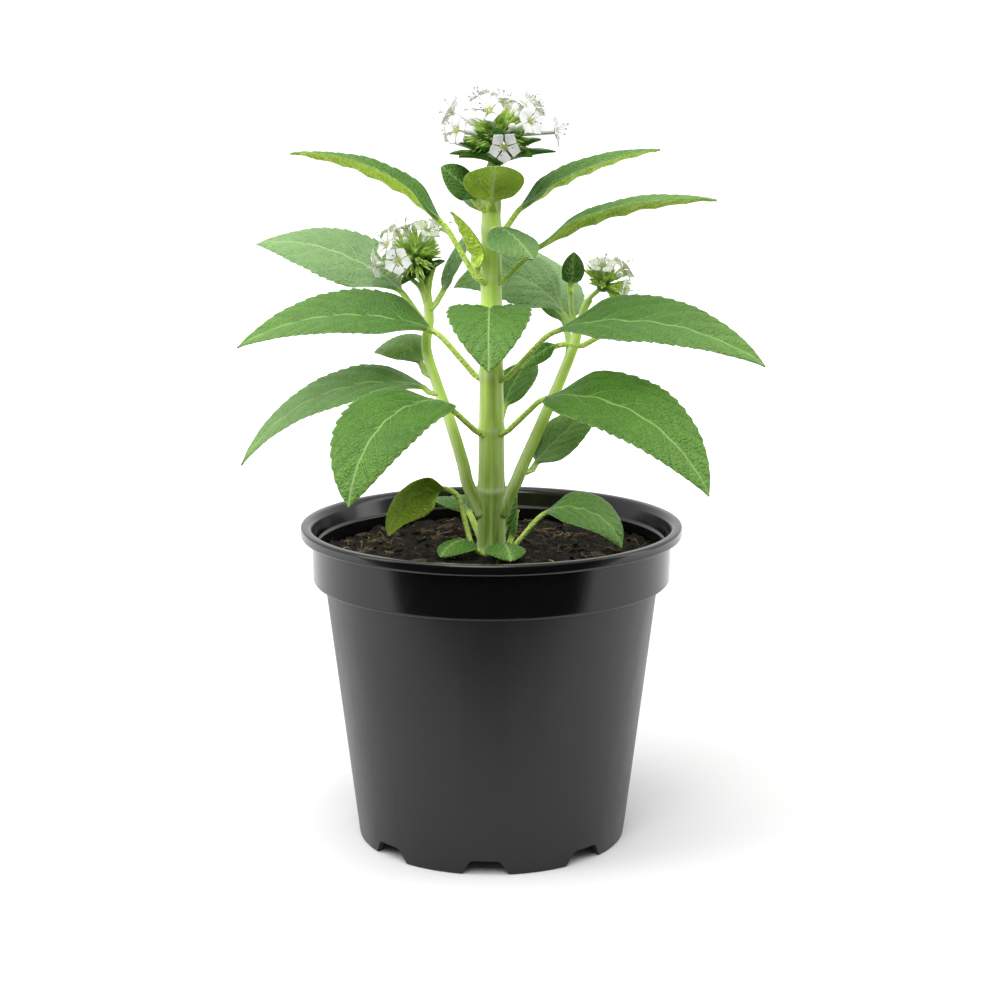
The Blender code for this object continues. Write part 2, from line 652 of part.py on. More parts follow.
def make_head(name, spec):
    """A dense head: a small core, green bud cups all over it and open florets between them."""
    seat, facing, core, calyces, florets, reach, spread = spec
    rng = random.Random(SEED + len(name))
    bm = bmesh.new()
    bmesh.ops.create_icosphere(bm, subdivisions=2, radius=core)
    base = object_from(name + "_core", bm, FLORET_WHITE)
    pieces = []
    for index, direction in enumerate(head_directions(calyces, reach, rng)):
        pieces.append(loose_piece(f"calyx_{index}", add_calyx, direction, core, rng))
    for index, direction in enumerate(head_directions(florets, reach - 8, rng)):
        turned_way = Matrix.Rotation(STAR_TURN, 3, "Z") @ direction
        length = FLORET_TUBE * (0.9 + spread * (1 - direction.z ** 2))
        turn = rng.uniform(0, 1.2)
        pieces.append(loose_piece(f"tube_{index}", add_floret_tube, turned_way, core, length))
        pieces.append(loose_piece(f"star_{index}", add_floret_star, turned_way, core, length, turn))
    head = fuse(name, base, pieces, FLORET_WHITE)
    middle = Vector(seat) + Vector(facing).normalized() * (core + 1.2)
    place = Matrix.Translation(middle * MM) @ frame_along(facing).to_4x4()
    head.data.transform(place)
    return head


def make_bracts(name, spec):
    """A rosette of pointed bracts spreading from a small cup under a flower head."""
    head, count, length, half = spec
    seat, facing, core = HEADS[head][:3]
    bm = bmesh.new()
    bmesh.ops.create_cone(bm, cap_ends=True, segments=12, radius1=1.6, radius2=3.0, depth=1.2)
    base = object_from(name + "_cup", bm, BUD_GREEN)
    pieces = []
    for index in range(count):
        size = length * BRACT_LENGTHS[index % 3]
        lift = BRACT_LIFTS[index % 4]
        pieces.append(loose_piece(f"bract_{index}", add_bract, index * 360.0 / count, size, half, lift))
    rosette = fuse(name, base, pieces, BUD_GREEN)
    middle = Vector(seat) + Vector(facing).normalized() * 0.2
    rosette.data.transform(Matrix.Translation(middle * MM) @ frame_along(facing).to_4x4())
    return rosette


def add_bract(bm, azimuth, length, half, lift):
    """A pointed, slightly arched bract growing outwards from the axis."""
    bmesh.ops.create_grid(bm, x_segments=4, y_segments=2, size=1.0)
    bmesh.ops.triangulate(bm, faces=bm.faces, quad_method="FIXED")
    upper = list(bm.verts)
    grown = bmesh.ops.extrude_face_region(bm, geom=list(bm.faces), use_keep_orig=True)["geom"]
    lower = [item for item in grown if isinstance(item, bmesh.types.BMVert)]
    for below, group in ((False, upper), (True, lower)):
        for vert in group:
            share = (vert.co.x + 1) / 2
            width = half * (0.35 + 1.5 * share) * (1 - share) ** 0.8 + 0.25
            rise = length * (BRACT_RISE * share - BRACT_ARCH * share * share)
            offset = -PETAL_THICKNESS if below else 0.0
            vert.co = Vector((BRACT_ROOT + length * share, width * vert.co.y, rise + offset + lift))
    spin = Matrix.Rotation(math.radians(azimuth), 3, "Z")
    bmesh.ops.rotate(bm, verts=bm.verts, cent=(0, 0, 0), matrix=spin)


def main():
    clear_scene()
    make_pot()
    make_soil()
    make_main_stem()
    make_branches()
    make_leaves()
    for name, spec in BRACTS.items():
        make_bracts(name, spec)
    for name, spec in HEADS.items():
        make_head(name, spec)


if __name__ == "__main__":
    main()
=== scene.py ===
"""Flowering stevia plant in a nursery pot: fine leaves, stems, flower heads, soil and pot.

Every piece is modelled round the fixed model that is loaded first. Sizes in the tables are in
millimetres and degrees; a finished piece's mesh is in metres, with +Z up.
"""
import math
import random

import bmesh
import bpy
from bpy.props import FloatProperty, FloatVectorProperty, IntProperty, PointerProperty
from mathutils import Matrix, Vector, noise


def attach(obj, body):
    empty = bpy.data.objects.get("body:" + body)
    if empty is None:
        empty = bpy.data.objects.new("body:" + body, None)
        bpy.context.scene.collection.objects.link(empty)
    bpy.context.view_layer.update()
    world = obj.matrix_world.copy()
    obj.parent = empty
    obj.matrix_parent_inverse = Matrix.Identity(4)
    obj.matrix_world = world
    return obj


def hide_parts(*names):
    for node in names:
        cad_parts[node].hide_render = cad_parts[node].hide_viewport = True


bl_info = {
    "name": "Stevia Plant in a Pot",
    "version": (1, 0, 0),
    "blender": (4, 5, 0),
    "location": "View3D > Sidebar > Stevia",
    "description": "Fine leaves, flower heads, soil and pot for a flowering stevia plant",
    "category": "Add Mesh",
}

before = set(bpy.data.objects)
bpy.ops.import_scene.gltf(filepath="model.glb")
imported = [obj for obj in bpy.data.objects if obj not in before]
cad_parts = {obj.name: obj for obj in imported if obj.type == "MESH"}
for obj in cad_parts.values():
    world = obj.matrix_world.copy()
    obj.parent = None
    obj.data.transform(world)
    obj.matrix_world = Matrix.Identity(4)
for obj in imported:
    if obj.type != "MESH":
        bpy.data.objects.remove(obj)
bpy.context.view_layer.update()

MM = 0.001
BODY = "root"

# The camera stands where the photograph was taken: millimetres from the middle of the foot
CAMERA_PLACE = (2.69, -635.0, 236.7)
CAMERA_PITCH = 11.45
CAMERA_LENS = 74.16

# Stage, in metres and watts: a light has its place, width, height and power
FLOOR_HALF = 4.0
FLOOR_START = -0.136
LIGHT_AIM = 0.12
LIGHTS = {
    "light_left": ((-0.80, -0.25, 0.60), 0.45, 0.9, 3.2),
    "light_right": ((0.85, 0.05, 0.50), 0.35, 0.9, 1.8),
    "light_top": ((-0.15, -0.20, 1.05), 0.6, 0.6, 4.5),
    "light_front": ((-0.15, -0.95, 0.95), 0.7, 0.5, 6.2),
}

# Pot
RIM_RADIUS = 60.0
RIM_TOP = 101.0
LIP_HEIGHT = 3.4
COLLAR_RADIUS = 56.3
COLLAR_BOTTOM = 83.3
BODY_TOP_RADIUS = 52.6
FOOT_RADIUS = 42.6
WALL = 1.5
FOOT_WALL = 2.4
FLOOR_UNDERSIDE = 5.2
FLOOR_THICKNESS = 1.6
NOTCH_COUNT = 8
NOTCH_HEIGHT = 4.7
NOTCH_BOTTOM_WIDTH = 14.6
NOTCH_TOP_WIDTH = 9.0
NOTCH_TURN = -2.5
DRAIN_COUNT = 6
DRAIN_RADIUS = 4.0
DRAIN_RING_RADIUS = 26.0
POT_STEPS = 180

# Soil
SOIL_TOP = 90.6
SOIL_BOTTOM = COLLAR_BOTTOM + 2.5
SOIL_RINGS = 90
SOIL_STEPS = 260
SOIL_GAP = 0.5
SOIL_BUMP = 1.5
CHIP_SHAPE = ((0.8, 1.5), (0.4, 0.8), (0.15, 0.4))
CHIP_TILT = 0.5

# Stems
STEM_TOP = 211.0
STEM_BASE_RADIUS = 4.25
STEM_TOP_RADIUS = 2.6
STEM_SIDES = 48
STEM_RIB = 0.06
STEM_STEP = 0.6
STEM_SUNK = 8.0
NODE_SWELL = 0.10
NODE_SPREAD = 3.0
NODE_RING = 0.8
BRANCH_SIDES = 32
BRANCH_RIB = 0.04
BRANCH_FLARE = 0.25
STALK_SIDES = 12
STALK_RIB = 0.03
HEAD_STALK_STEPS = 14
GROOVE_WIDTH = 13.0
GROOVE_DEPTH = 0.055
# Width in degrees of the painted rim highlight on two opposite sides of a stem
RIM_LIGHT_WIDTH = 34.0
LINE_PALENESS = 0.42
NODES = {1: 92.6, 2: 111.6, 3: 130.7, 4: 147.7, 5: 167.3, 6: 178.1, 7: 193.1, 8: 200.4}
BRANCHES = {
    "branch_left": {
        "route": ((-7.2, 0.5, 112.6), (-9.0, 2.2, 119.5), (-13.0, 6.5, 132.0), (-16.8, 10.5, 142.0),
                  (-20.6, 14.5, 154.0), (-19.8, 17.5, 163.5), (-21.0, 18.6, 175.2)),
        "radius": (2.2, 1.5),
        "root": (-2.4, 0.1, 103.6),
    },
    "branch_right": {
        "route": ((7.2, 0.5, 112.6), (10.0, 2.4, 119.0), (15.6, 6.8, 131.0), (21.5, 10.8, 144.0),
                  (26.0, 14.2, 155.0), (28.0, 17.0, 163.5)),
        "radius": (2.2, 1.7),
        "root": (2.4, 0.1, 103.6),
    },
    "twig_right_shoot": {
        "route": ((25.6, 15.4, 165.0), (25.0, 12.8, 168.6), (24.8, 11.2, 172.6)),
        "radius": (0.9, 0.8),
        "root": (26.8, 16.4, 161.5),
    },
    "twig_right_head": {
        "route": ((29.2, 18.4, 165.2), (30.2, 19.0, 167.2), (31.4, 19.5, 169.2)),
        "radius": (1.1, 1.0),
        "root": (28.0, 17.0, 162.5),
    },
}

# Leaves, as in the solid model; pale is how far a leaf at the back is washed towards a painted pale haze, as
# if lit from behind
LEAF_FIELDS = ("on", "azimuth", "turn", "rise", "level", "dip", "stalk", "blade", "half", "fold", "roll",
               "pale")
LEAVES = {
    "leaf_top_left": (6, 168, 0, 72, 40, 5, 21, 52, 9.5, 32, 2, 0.0),
    "leaf_top_right": (7, 15, 0, 70, 31, 11, 8, 48, 8.5, 30, -4, 0.0),
    "leaf_upper_right": (6, -8, 0, 58, 28, 2, 14, 56, 9.0, 30, -6, 0.1),
    "leaf_upper_left_back": (("branch_left", 0.826), 152, -2, 60, 34, -9, 12, 58, 11.5, 6, 34, 0.35),
    "leaf_middle_left": (4, 166, 6, 72, 18, -31, 20, 65, 12.0, 15, 30, 0.05),
    "leaf_middle_right": (4, -12, -2, 72, 16, -33, 22, 66, 12.0, 14, -30, 0.05),
    "leaf_lower_left_back": (("branch_left", 0.48), 165, 10, 66, 9, -58, 3, 70, 11.0, 10, 26, 0.2),
    "leaf_lower_left": (3, -150, 36, 72, 5, -73, 18, 52, 14.5, 10, 12, 0.0),
    "leaf_lower_right": (3, -22, -20, 72, 10, -58, 18, 65, 14.0, 12, -26, 0.0),
    "leaf_front_heart": (5, -92, 3, 16, 16, -62, 3, 39, 12.6, 11, 0, 0.0),
    "leaf_front_upper": (7, -66, 12, 10, -5, -40, 2.5, 21, 8.0, -12, -10, 0.15),
    "leaf_crown_front": (8, -86, 0, 50, 46, 26, 2, 18, 9.5, 10, 0, 0.0),
    "leaf_crown_back": (8, -166, 0, 60, 50, 38, 2, 14, 6.5, 10, 50, 0.0),
    "leaf_axil_left": (6, -140, -10, 70, 68, 56, 3, 20, 5.0, 40, 6, 0.0),
    "leaf_behind_stem": (("branch_right", 0.97), 172, -14, 30, 56, -36, 5, 40, 10.0, 8, 46, 0.5),
    "leaf_back_right": (("branch_right", 0.84), 104, 18, 40, 56, 30, 10, 30, 10.0, 8, -6, 0.55),
    "leaf_back_middle": (4, 92, 0, 50, 24, -14, 12, 44, 9.5, 12, 0, 0.2),
    "leaf_back_upper": (7, 100, 0, 50, 20, -16, 8, 36, 7.0, 12, 0, 0.2),
    "leaf_back_lower": (3, 66, 0, 55, 44, 10, 8, 26, 7.0, 10, 0, 0.15),
    "leaf_right_branch_low": (("branch_right", 0.12), 24, -6, 60, 46, 28, 3, 28, 8.0, 8, -26, 0.35),
    "leaf_right_branch_under": (("branch_right", 0.86), 4, 0, 34, 18, -22, 8, 44, 9.5, 12, -8, 0.1),
    "leaf_right_branch_small": (("branch_right", 0.84), 178, 0, -6, -20, -50, 3, 14, 4.5, 6, 30, 0.0),
    "leaf_left_branch_back": (("branch_left", 0.577), 140, 10, 60, 50, -40, 4, 20, 8.6, 8, 20, 0.5),
    "leaf_left_head": (("branch_left", 0.893), 20, 30, 50, 60, 62, 5, 20, 5.5, 14, 10, 0.3),
    "leaf_right_shoot": (("twig_right_shoot", 1.0), 20, 0, 84, 84, 84, 1.5, 10, 4.2, 14, -96, 0.0),
    "leaf_base_left": (1, 176, 24, 138, 8, -84, 22, 26, 9.5, -8, -52, 0.1),
    "leaf_base_right": (1, -10, -6, 70, 25, -72, 17, 29, 9.0, 8, -24, 0.1),
    "leaf_base_front_left": (1, -136, 4, 58, 26, -44, 4, 14, 6.5, -6, 0, 0.0),
    "leaf_base_front_right": (1, -72, -6, 58, 26, -44, 4, 14, 6.5, -6, 0, 0.0),
    "leaf_base_shoot": (1, 30, -30, 62, 72, 80, 3, 9, 2.7, 6, 0, 0.0),
    "leaf_base_back": (1, 66, -20, 50, 50, 66, 6, 12, 2.4, 8, 0, 0.0),
    "leaf_base_behind": (1, 116, 0, 50, 24, -34, 14, 24, 8.0, 8, 0, 0.1),
}
STALK_HALF_WIDTH = 1.15
STALK_BEND = 0.7
STALK_LIFT = 3.0
STALK_THICKNESS = 1.9
STALK_SINK = 3.4
ROOT_SLOPE = 50
ROOT_DROP = 5.0
ROOT_EASE = 0.7
ROOT_REACH = 0.92
BLADE_THICKNESS = 0.40
BLADE_GROWTH = 0.2
BLADE_CURL = 0.10
KEEL_DEPTH = 0.75
GUTTER_DEPTH = 0.22
WAVE_HEIGHT = 0.60
RIPPLE_HEIGHT = 0.07
QUILT_GAIN = 2.4
MIDRIB_SINK = 0.35
LOBE_SPAN = 0.4
WIDE_LEAF = 6.0

# Outline of a blade: how blunt its base and tip are; lobes reach back past the stalk, in millimetres
OUTLINE_BASE = 0.55
ROUND_BASES = {"leaf_front_heart": 0.52, "leaf_lower_left": 0.48, "leaf_lower_right": 0.50}
LOBES = {
    "leaf_front_heart": 26.0,
    "leaf_lower_left": 16.0,
    "leaf_lower_right": 12.0,
    "leaf_base_front_left": 2.5,
    "leaf_base_front_right": 2.5,
    "leaf_crown_front": 3.0,
    "leaf_base_left": 3.0,
    "leaf_right_branch_low": 3.0,
}
OUTLINE_TIP = 0.95
SLENDER = 0.22

# Teeth start and end at a share of the blade; short blades are smooth
TEETH_START = 0.22
TEETH_END = 0.95
TOOTH_POINT = 0.84
TOOTH_SHIFT = 0.43
SMOOTH_BLADE = 20.0
TOOTHED_BLADE = 38.0
STALK_ROWS = 12
ROWS_PER_TOOTH = 6
LANES = 20
VEIN_PAIRS = 6.0
VEIN_LEAN = 1.0
VEIN_BEND = 0.10
VEIN_SHIFT = 0.21

# Flower heads: seat, facing, core radius, calyces, florets, reach, extra length at the side
HEADS = {
    "flower_head_top": ((2.0, 0.0, 212.8), (0.0, -0.10, 1.0), 6.6, 54, 13, 103, 0.80),
    "flower_head_left": ((-21.6, 18.6, 177.0), (-0.40, -0.30, 0.86), 5.4, 38, 7, 92, 0.30),
    "flower_head_right": ((32.4, 19.6, 170.2), (0.62, -0.20, 0.72), 3.6, 22, 3, 74, -0.3),
}
BRACTS = {"bracts_top": ("flower_head_top", 8, 16.5, 2.6), "bracts_left": ("flower_head_left", 5, 7.0, 1.8)}
CALYX_LENGTH = 6.4
FLORET_TUBE = 9.5
FLORET_RADIUS = 5.0
PETALS = 5
PETAL_HALF = 1.46
PETAL_CUP = 2.2
PETAL_DROOP = 1.1
STAR_TURN = 1.12
BUD_TURN = 2.4
TUBE_SIDES = 10
TUBE_FOOT_RADIUS = 0.45
TUBE_MOUTH_RADIUS = 1.0
THROAT_RADIUS = 0.8
FUNNEL_DEPTH = 1.3
BALL_SHARE = 0.62
FLORET_SEAT = 0.4
FLORET_REACH_CUT = 8
BUD_REACH_CUT = 25
CUP_SEAT = 0.42
CUP_SHARE = 0.62
CUP_REACH = 22
CUP_REACH_LIMIT = 128
STAMENS = 4
STAMEN_RADIUS = 0.09
ANTHER_RADIUS = 0.20
STAMEN_MARKS = (0, 0.3, 0.6, 0.85, 0.93, 1.0)
BRACT_STEEP = (0.34, 0.66, 1.20)
BRACT_RANKS = (1.0, 0.78, 0.60)
BRACT_LENGTHS = (1.0, 0.82, 0.92)
HEAD_STALKS = {
    "peduncles_top": ((0.0, 0.0, 208.0), 2.3, 1.9, ((2.0, 0.0, 213.6),)),
    "peduncles_left": ((-20.3, 17.9, 166.5), 1.0, 0.62, ((-28.0, 15.5, 178.0), (-24.6, 14.4, 179.0),
                       (-20.0, 15.6, 180.0), (-17.6, 18.0, 181.0), (-22.5, 19.0, 180.0))),
    "peduncles_right": ((27.6, 16.7, 161.5), 1.0, 0.7, ((34.2, 18.4, 172.6), (35.6, 18.9, 173.6),
                        (34.8, 19.4, 172.8))),
}


def colour_setting(name, description, default):
    """A colour that is shown with a name and a description."""
    return FloatVectorProperty(name=name, description=description, default=default,
                               subtype="COLOR", min=0.0, max=1.0)


class PlantSettings(bpy.types.PropertyGroup):
    """Sizes and colours that change the plant's fine surface."""
    vein_relief: FloatProperty(name="Vein relief", description="Depth of the sunken veins",
                               default=0.00048, min=0.0, max=0.001, subtype="DISTANCE", unit="LENGTH")
    tooth_pitch: FloatProperty(name="Tooth pitch", description="Distance between teeth on a leaf's edge",
                               default=0.0034, min=0.001, max=0.01, subtype="DISTANCE", unit="LENGTH")
    tooth_depth: FloatProperty(name="Tooth depth",
                               description="Depth of a tooth, as a share of half the blade",
                               default=0.065, min=0.0, max=0.3, subtype="FACTOR")
    leaf_top: colour_setting("Leaf top", "Colour of a leaf's upper side", (0.064, 0.185, 0.010))
    # Underside colour: a yellower green, made bright to paint in light shining through the leaf
    leaf_under_and_glow: colour_setting("Leaf underside", "Colour of a leaf's lower side", (0.66, 0.94, 0.08))
    leaf_vein: colour_setting("Veins", "Colour of the veins", (0.27, 0.43, 0.14))
    # Pale colour of the upper stems' ridges, also used for the painted rim highlight on their sides
    stem: colour_setting("Stem", "Colour of the stems", (0.72, 0.86, 0.40))
    petal: colour_setting("Petal", "Colour of the petals", (0.86, 0.87, 0.84))
    bud: colour_setting("Bud cup", "Colour of the bud cups", (0.42, 0.64, 0.08))
    pot: colour_setting("Pot", "Colour of the pot's plastic", (0.003, 0.003, 0.0033))
    chip_count: IntProperty(name="Bark chips", description="Number of bark chips on the soil",
                            default=420, min=0, max=2000)
    fibre_count: IntProperty(name="Fibres", description="Number of fibres on the soil",
                             default=150, min=0, max=1000)


def settings():
    """The plant's own settings of the current scene."""
    return bpy.context.scene.stevia_plant


def dimmed(colour, share):
    """A colour with every channel taken down or up by a share."""
    return tuple(value * share for value in colour)


class Shading:
    """A small helper that adds and joins shader nodes of one material."""

    def __init__(self, name):
        self.material = bpy.data.materials.new(name)
        self.material.use_nodes = True
        self.tree = self.material.node_tree
        self.shader = self.tree.nodes["Principled BSDF"]

    def node(self, kind, **values):
        """Adds a node and sets the given properties on it."""
        made = self.tree.nodes.new(kind)
        for key, value in values.items():
            setattr(made, key, value)
        return made

    def feed(self, socket, value):
        """Links a socket, or sets a plain value, colour or vector."""
        if isinstance(value, bpy.types.NodeSocket):
            self.tree.links.new(value, socket)
        elif isinstance(value, (tuple, list)) and len(value) == 3 and socket.type == "RGBA":
            socket.default_value = (*value, 1.0)
        else:
            socket.default_value = value

    def math(self, operation, *values):
        """One step of arithmetic."""
        made = self.node("ShaderNodeMath", operation=operation)
        for socket, value in zip(made.inputs, values):
            self.feed(socket, value)
        return made.outputs[0]

    def ramp(self, value, low, high, out_low=0.0, out_high=1.0):
        """Maps low..high to out_low..out_high with soft ends."""
        made = self.node("ShaderNodeMapRange", clamp=True, interpolation_type="SMOOTHSTEP")
        for socket, item in zip(made.inputs, (value, low, high, out_low, out_high)):
            self.feed(socket, item)
        return made.outputs[0]

    def blend(self, share, first, second):
        """Mixes two colours; a share of 0 gives the first and 1 the second."""
        made = self.node("ShaderNodeMix", data_type="RGBA")
        self.feed(made.inputs["Factor"], share)
        self.feed(made.inputs["A"], first)
        self.feed(made.inputs["B"], second)
        return made.outputs["Result"]

    def tint(self, body, share, strength, colour):
        """Lays a colour over another one, as far as share times strength says."""
        return self.blend(self.math("MULTIPLY", share, strength), body, colour)

    def place(self, stretch=(1.0, 1.0, 1.0)):
        """Object coordinates in metres, stretched along the axes."""
        coords = self.node("ShaderNodeTexCoord").outputs["Object"]
        mapping = self.node("ShaderNodeMapping")
        self.feed(mapping.inputs["Vector"], coords)
        mapping.inputs["Scale"].default_value = stretch
        return mapping.outputs[0]

    def cloud(self, vector, scale, detail=3.0, rough=0.55):
        """Soft noise between 0 and 1; a high scale gives small spots."""
        made = self.node("ShaderNodeTexNoise")
        self.feed(made.inputs["Vector"], vector)
        made.inputs["Scale"].default_value = scale
        made.inputs["Detail"].default_value = detail
        made.inputs["Roughness"].default_value = rough
        return made.outputs["Fac"]

    def cells(self, vector, scale, feature="DISTANCE_TO_EDGE"):
        """Distance to the nearest edge or centre of a cell pattern."""
        made = self.node("ShaderNodeTexVoronoi", feature=feature)
        self.feed(made.inputs["Vector"], vector)
        made.inputs["Scale"].default_value = scale
        return made.outputs["Distance"]

    def reading(self, name):
        """A value that is stored on the mesh's points."""
        return self.node("ShaderNodeAttribute", attribute_name=name).outputs["Fac"]

    def bump(self, height, distance, strength=1.0):
        """Fine relief in the light alone; the distance is in metres."""
        made = self.node("ShaderNodeBump")
        self.feed(made.inputs["Height"], height)
        made.inputs["Distance"].default_value = distance
        made.inputs["Strength"].default_value = strength
        self.feed(self.shader.inputs["Normal"], made.outputs[0])

    def colour(self, value):
        """Base colour of the surface."""
        self.feed(self.shader.inputs["Base Color"], value)

    def rough(self, value):
        """Roughness of the surface."""
        self.feed(self.shader.inputs["Roughness"], value)

    def gloss(self, level):
        """Strength of the mirror-like share."""
        self.shader.inputs["Specular IOR Level"].default_value = level

    def fuzz(self, weight, roughness, tint):
        """The soft glow of fine hairs at grazing angles."""
        self.shader.inputs["Sheen Weight"].default_value = weight
        self.shader.inputs["Sheen Roughness"].default_value = roughness
        self.feed(self.shader.inputs["Sheen Tint"], tint)

    def scatter(self, weight, radius):
        """Light that spreads below the surface; the radius of each channel is in metres."""
        self.shader.inputs["Subsurface Weight"].default_value = weight
        self.shader.inputs["Subsurface Radius"].default_value = radius
        self.shader.inputs["Subsurface Scale"].default_value = 1.0


def leaf_material():
    """Netted leaf: pale veins and rim on a mottled green, painted shade at the base and in the vein grooves,
    painted glare towards the tip, a yellower underside brightened with painted light shining through, and a
    painted pale haze on the leaves at the back.
    """
    look = settings()
    mat = Shading("leaf_blade")
    along = mat.reading("along")
    share = mat.reading("share")
    across = mat.reading("across")
    edge = mat.reading("edge")
    under = mat.reading("under")
    pale = mat.reading("pale")
    pitch = mat.reading("vein_pitch")
    reach = mat.math("ABSOLUTE", across)
    side_shift = mat.math("MULTIPLY", mat.math("SIGN", across), VEIN_SHIFT)
    lead = mat.math("MULTIPLY", reach, mat.math("ADD", mat.math("MULTIPLY", reach, VEIN_BEND), VEIN_LEAN))
    phase = mat.math("ADD", mat.math("DIVIDE", mat.math("SUBTRACT", along, lead), pitch), side_shift)
    off = mat.math("ABSOLUTE", mat.math("SUBTRACT", mat.math("FRACT", mat.math("ADD", phase, 100.5)), 0.5))
    off = mat.math("MULTIPLY", off, pitch)
    lateral = mat.ramp(off, 0.06, 0.36, 1.0, 0.0)
    lateral = mat.math("MULTIPLY", lateral, mat.ramp(edge, 0.30, 1.0, 0.75, 0.10))
    midrib = mat.ramp(reach, 0.12, 0.46, 1.0, 0.0)
    vein = mat.math("MAXIMUM", midrib, lateral)
    # Painted shade beside each side vein, where the sunken grooves fall dark
    shade = mat.math("MULTIPLY", mat.ramp(off, 0.25, 1.10, 1.0, 0.0), mat.ramp(reach, 0.5, 1.6))
    stalk = mat.ramp(along, -2.0, 1.5, 1.0, 0.0)
    space = mat.place()
    net = mat.cells(space, 720.0)
    fine_net = mat.ramp(net, 0.0, 0.14, 1.0, 0.0)
    mottle = mat.cloud(space, 95.0, 4.0, 0.6)
    patch = mat.cloud(space, 26.0, 2.0)
    top = mat.blend(mat.ramp(mottle, 0.30, 0.72), dimmed(look.leaf_top, 0.72), tuple(look.leaf_top))
    # Painted shade: the upper side darkens towards the blade's base
    top = mat.blend(mat.ramp(share, 0.0, 0.42, 0.55, 0.0), top, (0.036, 0.135, 0.004))
    # Painted glare: the upper side grows paler towards the tip
    top = mat.blend(mat.ramp(share, 0.30, 1.0, 0.0, 0.62), top, (0.17, 0.34, 0.060))
    top = mat.tint(top, mat.ramp(patch, 0.45, 0.75), 0.25, (0.13, 0.29, 0.035))
    # Lays the painted vein-groove shade on the upper side
    top = mat.tint(top, shade, 0.75, (0.028, 0.110, 0.005))
    top = mat.tint(top, fine_net, 0.18, (0.15, 0.31, 0.05))
    top = mat.tint(top, vein, 0.80, tuple(look.leaf_vein))
    # Underside: its own yellower green, brightened with painted light as if shining through the leaf
    low = mat.blend(mat.ramp(mottle, 0.3, 0.7), dimmed(look.leaf_under_and_glow, 0.82), tuple(look.leaf_under_and_glow))
    low = mat.tint(low, fine_net, 0.14, (0.50, 0.70, 0.12))
    low = mat.tint(low, vein, 0.75, (0.80, 0.92, 0.45))
    body = mat.blend(under, top, low)
    body = mat.blend(mat.ramp(edge, 0.94, 1.0, 0.0, 0.50), body, (0.27, 0.45, 0.16))
    body = mat.blend(stalk, body, (0.62, 0.82, 0.16))
    # Painted backlight haze: back leaves are washed pale as far as their pale value says
    body = mat.blend(pale, body, (0.40, 0.58, 0.31))
    mat.colour(body)
    mat.rough(mat.ramp(mottle, 0.3, 0.7, 0.42, 0.56))
    relief = mat.math("MULTIPLY", mat.ramp(net, 0.0, 0.30), mat.math("SUBTRACT", 1.0, vein))
    relief = mat.math("ADD", relief, mat.math("MULTIPLY", mat.cloud(space, 900.0, 2.0), 0.35))
    mat.bump(relief, 0.00026, 0.9)
    mat.gloss(0.30)
    mat.fuzz(0.04, 0.45, (0.85, 1.0, 0.80))
    mat.scatter(0.05, (0.0006, 0.0012, 0.0003))
    return mat.material


def stem_material():
    """Ribbed soft stem: pale ridges, a painted rim highlight on two opposite sides, greener grooves, darker
    and browner towards the soil.
    """
    look = settings()
    mat = Shading("stem_skin")
    ridge_and_rim_light = mat.reading("ridge_and_rim_light")
    ring = mat.reading("ring")
    space = mat.place()
    height = mat.node("ShaderNodeSeparateXYZ")
    mat.feed(height.inputs[0], space)
    lift = mat.ramp(height.outputs["Z"], 0.095, 0.150)
    streak = mat.cloud(mat.place((1.0, 1.0, 0.10)), 900.0, 3.0)
    groove = mat.blend(lift, (0.12, 0.205, 0.016), (0.50, 0.72, 0.095))
    # Pale ridge colour, which also paints the rim highlight on the flanks
    crest_and_rim_light = mat.blend(lift, (0.42, 0.52, 0.22), tuple(look.stem))
    skin = mat.blend(ridge_and_rim_light, groove, crest_and_rim_light)
    skin = mat.tint(skin, mat.ramp(streak, 0.45, 0.75), 0.35, (0.50, 0.66, 0.28))
    skin = mat.tint(skin, ring, 0.45, (0.62, 0.74, 0.46))
    mat.colour(skin)
    mat.rough(mat.ramp(streak, 0.3, 0.7, 0.42, 0.58))
    mat.bump(streak, 0.00012, 0.6)
    mat.gloss(0.4)
    mat.fuzz(0.30, 0.35, (0.93, 1.0, 0.85))
    mat.scatter(0.12, (0.0009, 0.0014, 0.0004))
    return mat.material


def pot_material():
    """Moulded black plastic: a satin wall, a glossier collar and rim, fine scuffs."""
    look = settings()
    mat = Shading("pot_plastic_fine")
    space = mat.place()
    height = mat.node("ShaderNodeSeparateXYZ")
    mat.feed(height.inputs[0], space)
    collar = mat.ramp(height.outputs["Z"], 0.0832, 0.0850)
    grain = mat.cloud(space, 260.0, 4.0, 0.65)
    scuff = mat.cloud(mat.place((1.0, 1.0, 0.35)), 60.0, 5.0, 0.7)
    mat.colour(mat.blend(mat.ramp(scuff, 0.55, 0.85), tuple(look.pot), dimmed(look.pot, 2.2)))
    wall = mat.ramp(scuff, 0.3, 0.8, 0.34, 0.46)
    shiny = mat.ramp(scuff, 0.3, 0.8, 0.13, 0.24)
    rough = mat.node("ShaderNodeMix", data_type="FLOAT")
    mat.feed(rough.inputs["Factor"], collar)
    mat.feed(rough.inputs["A"], wall)
    mat.feed(rough.inputs["B"], shiny)
    mat.rough(rough.outputs["Result"])
    mat.bump(grain, 0.00002, 0.5)
    mat.shader.inputs["IOR"].default_value = 1.49
    return mat.material


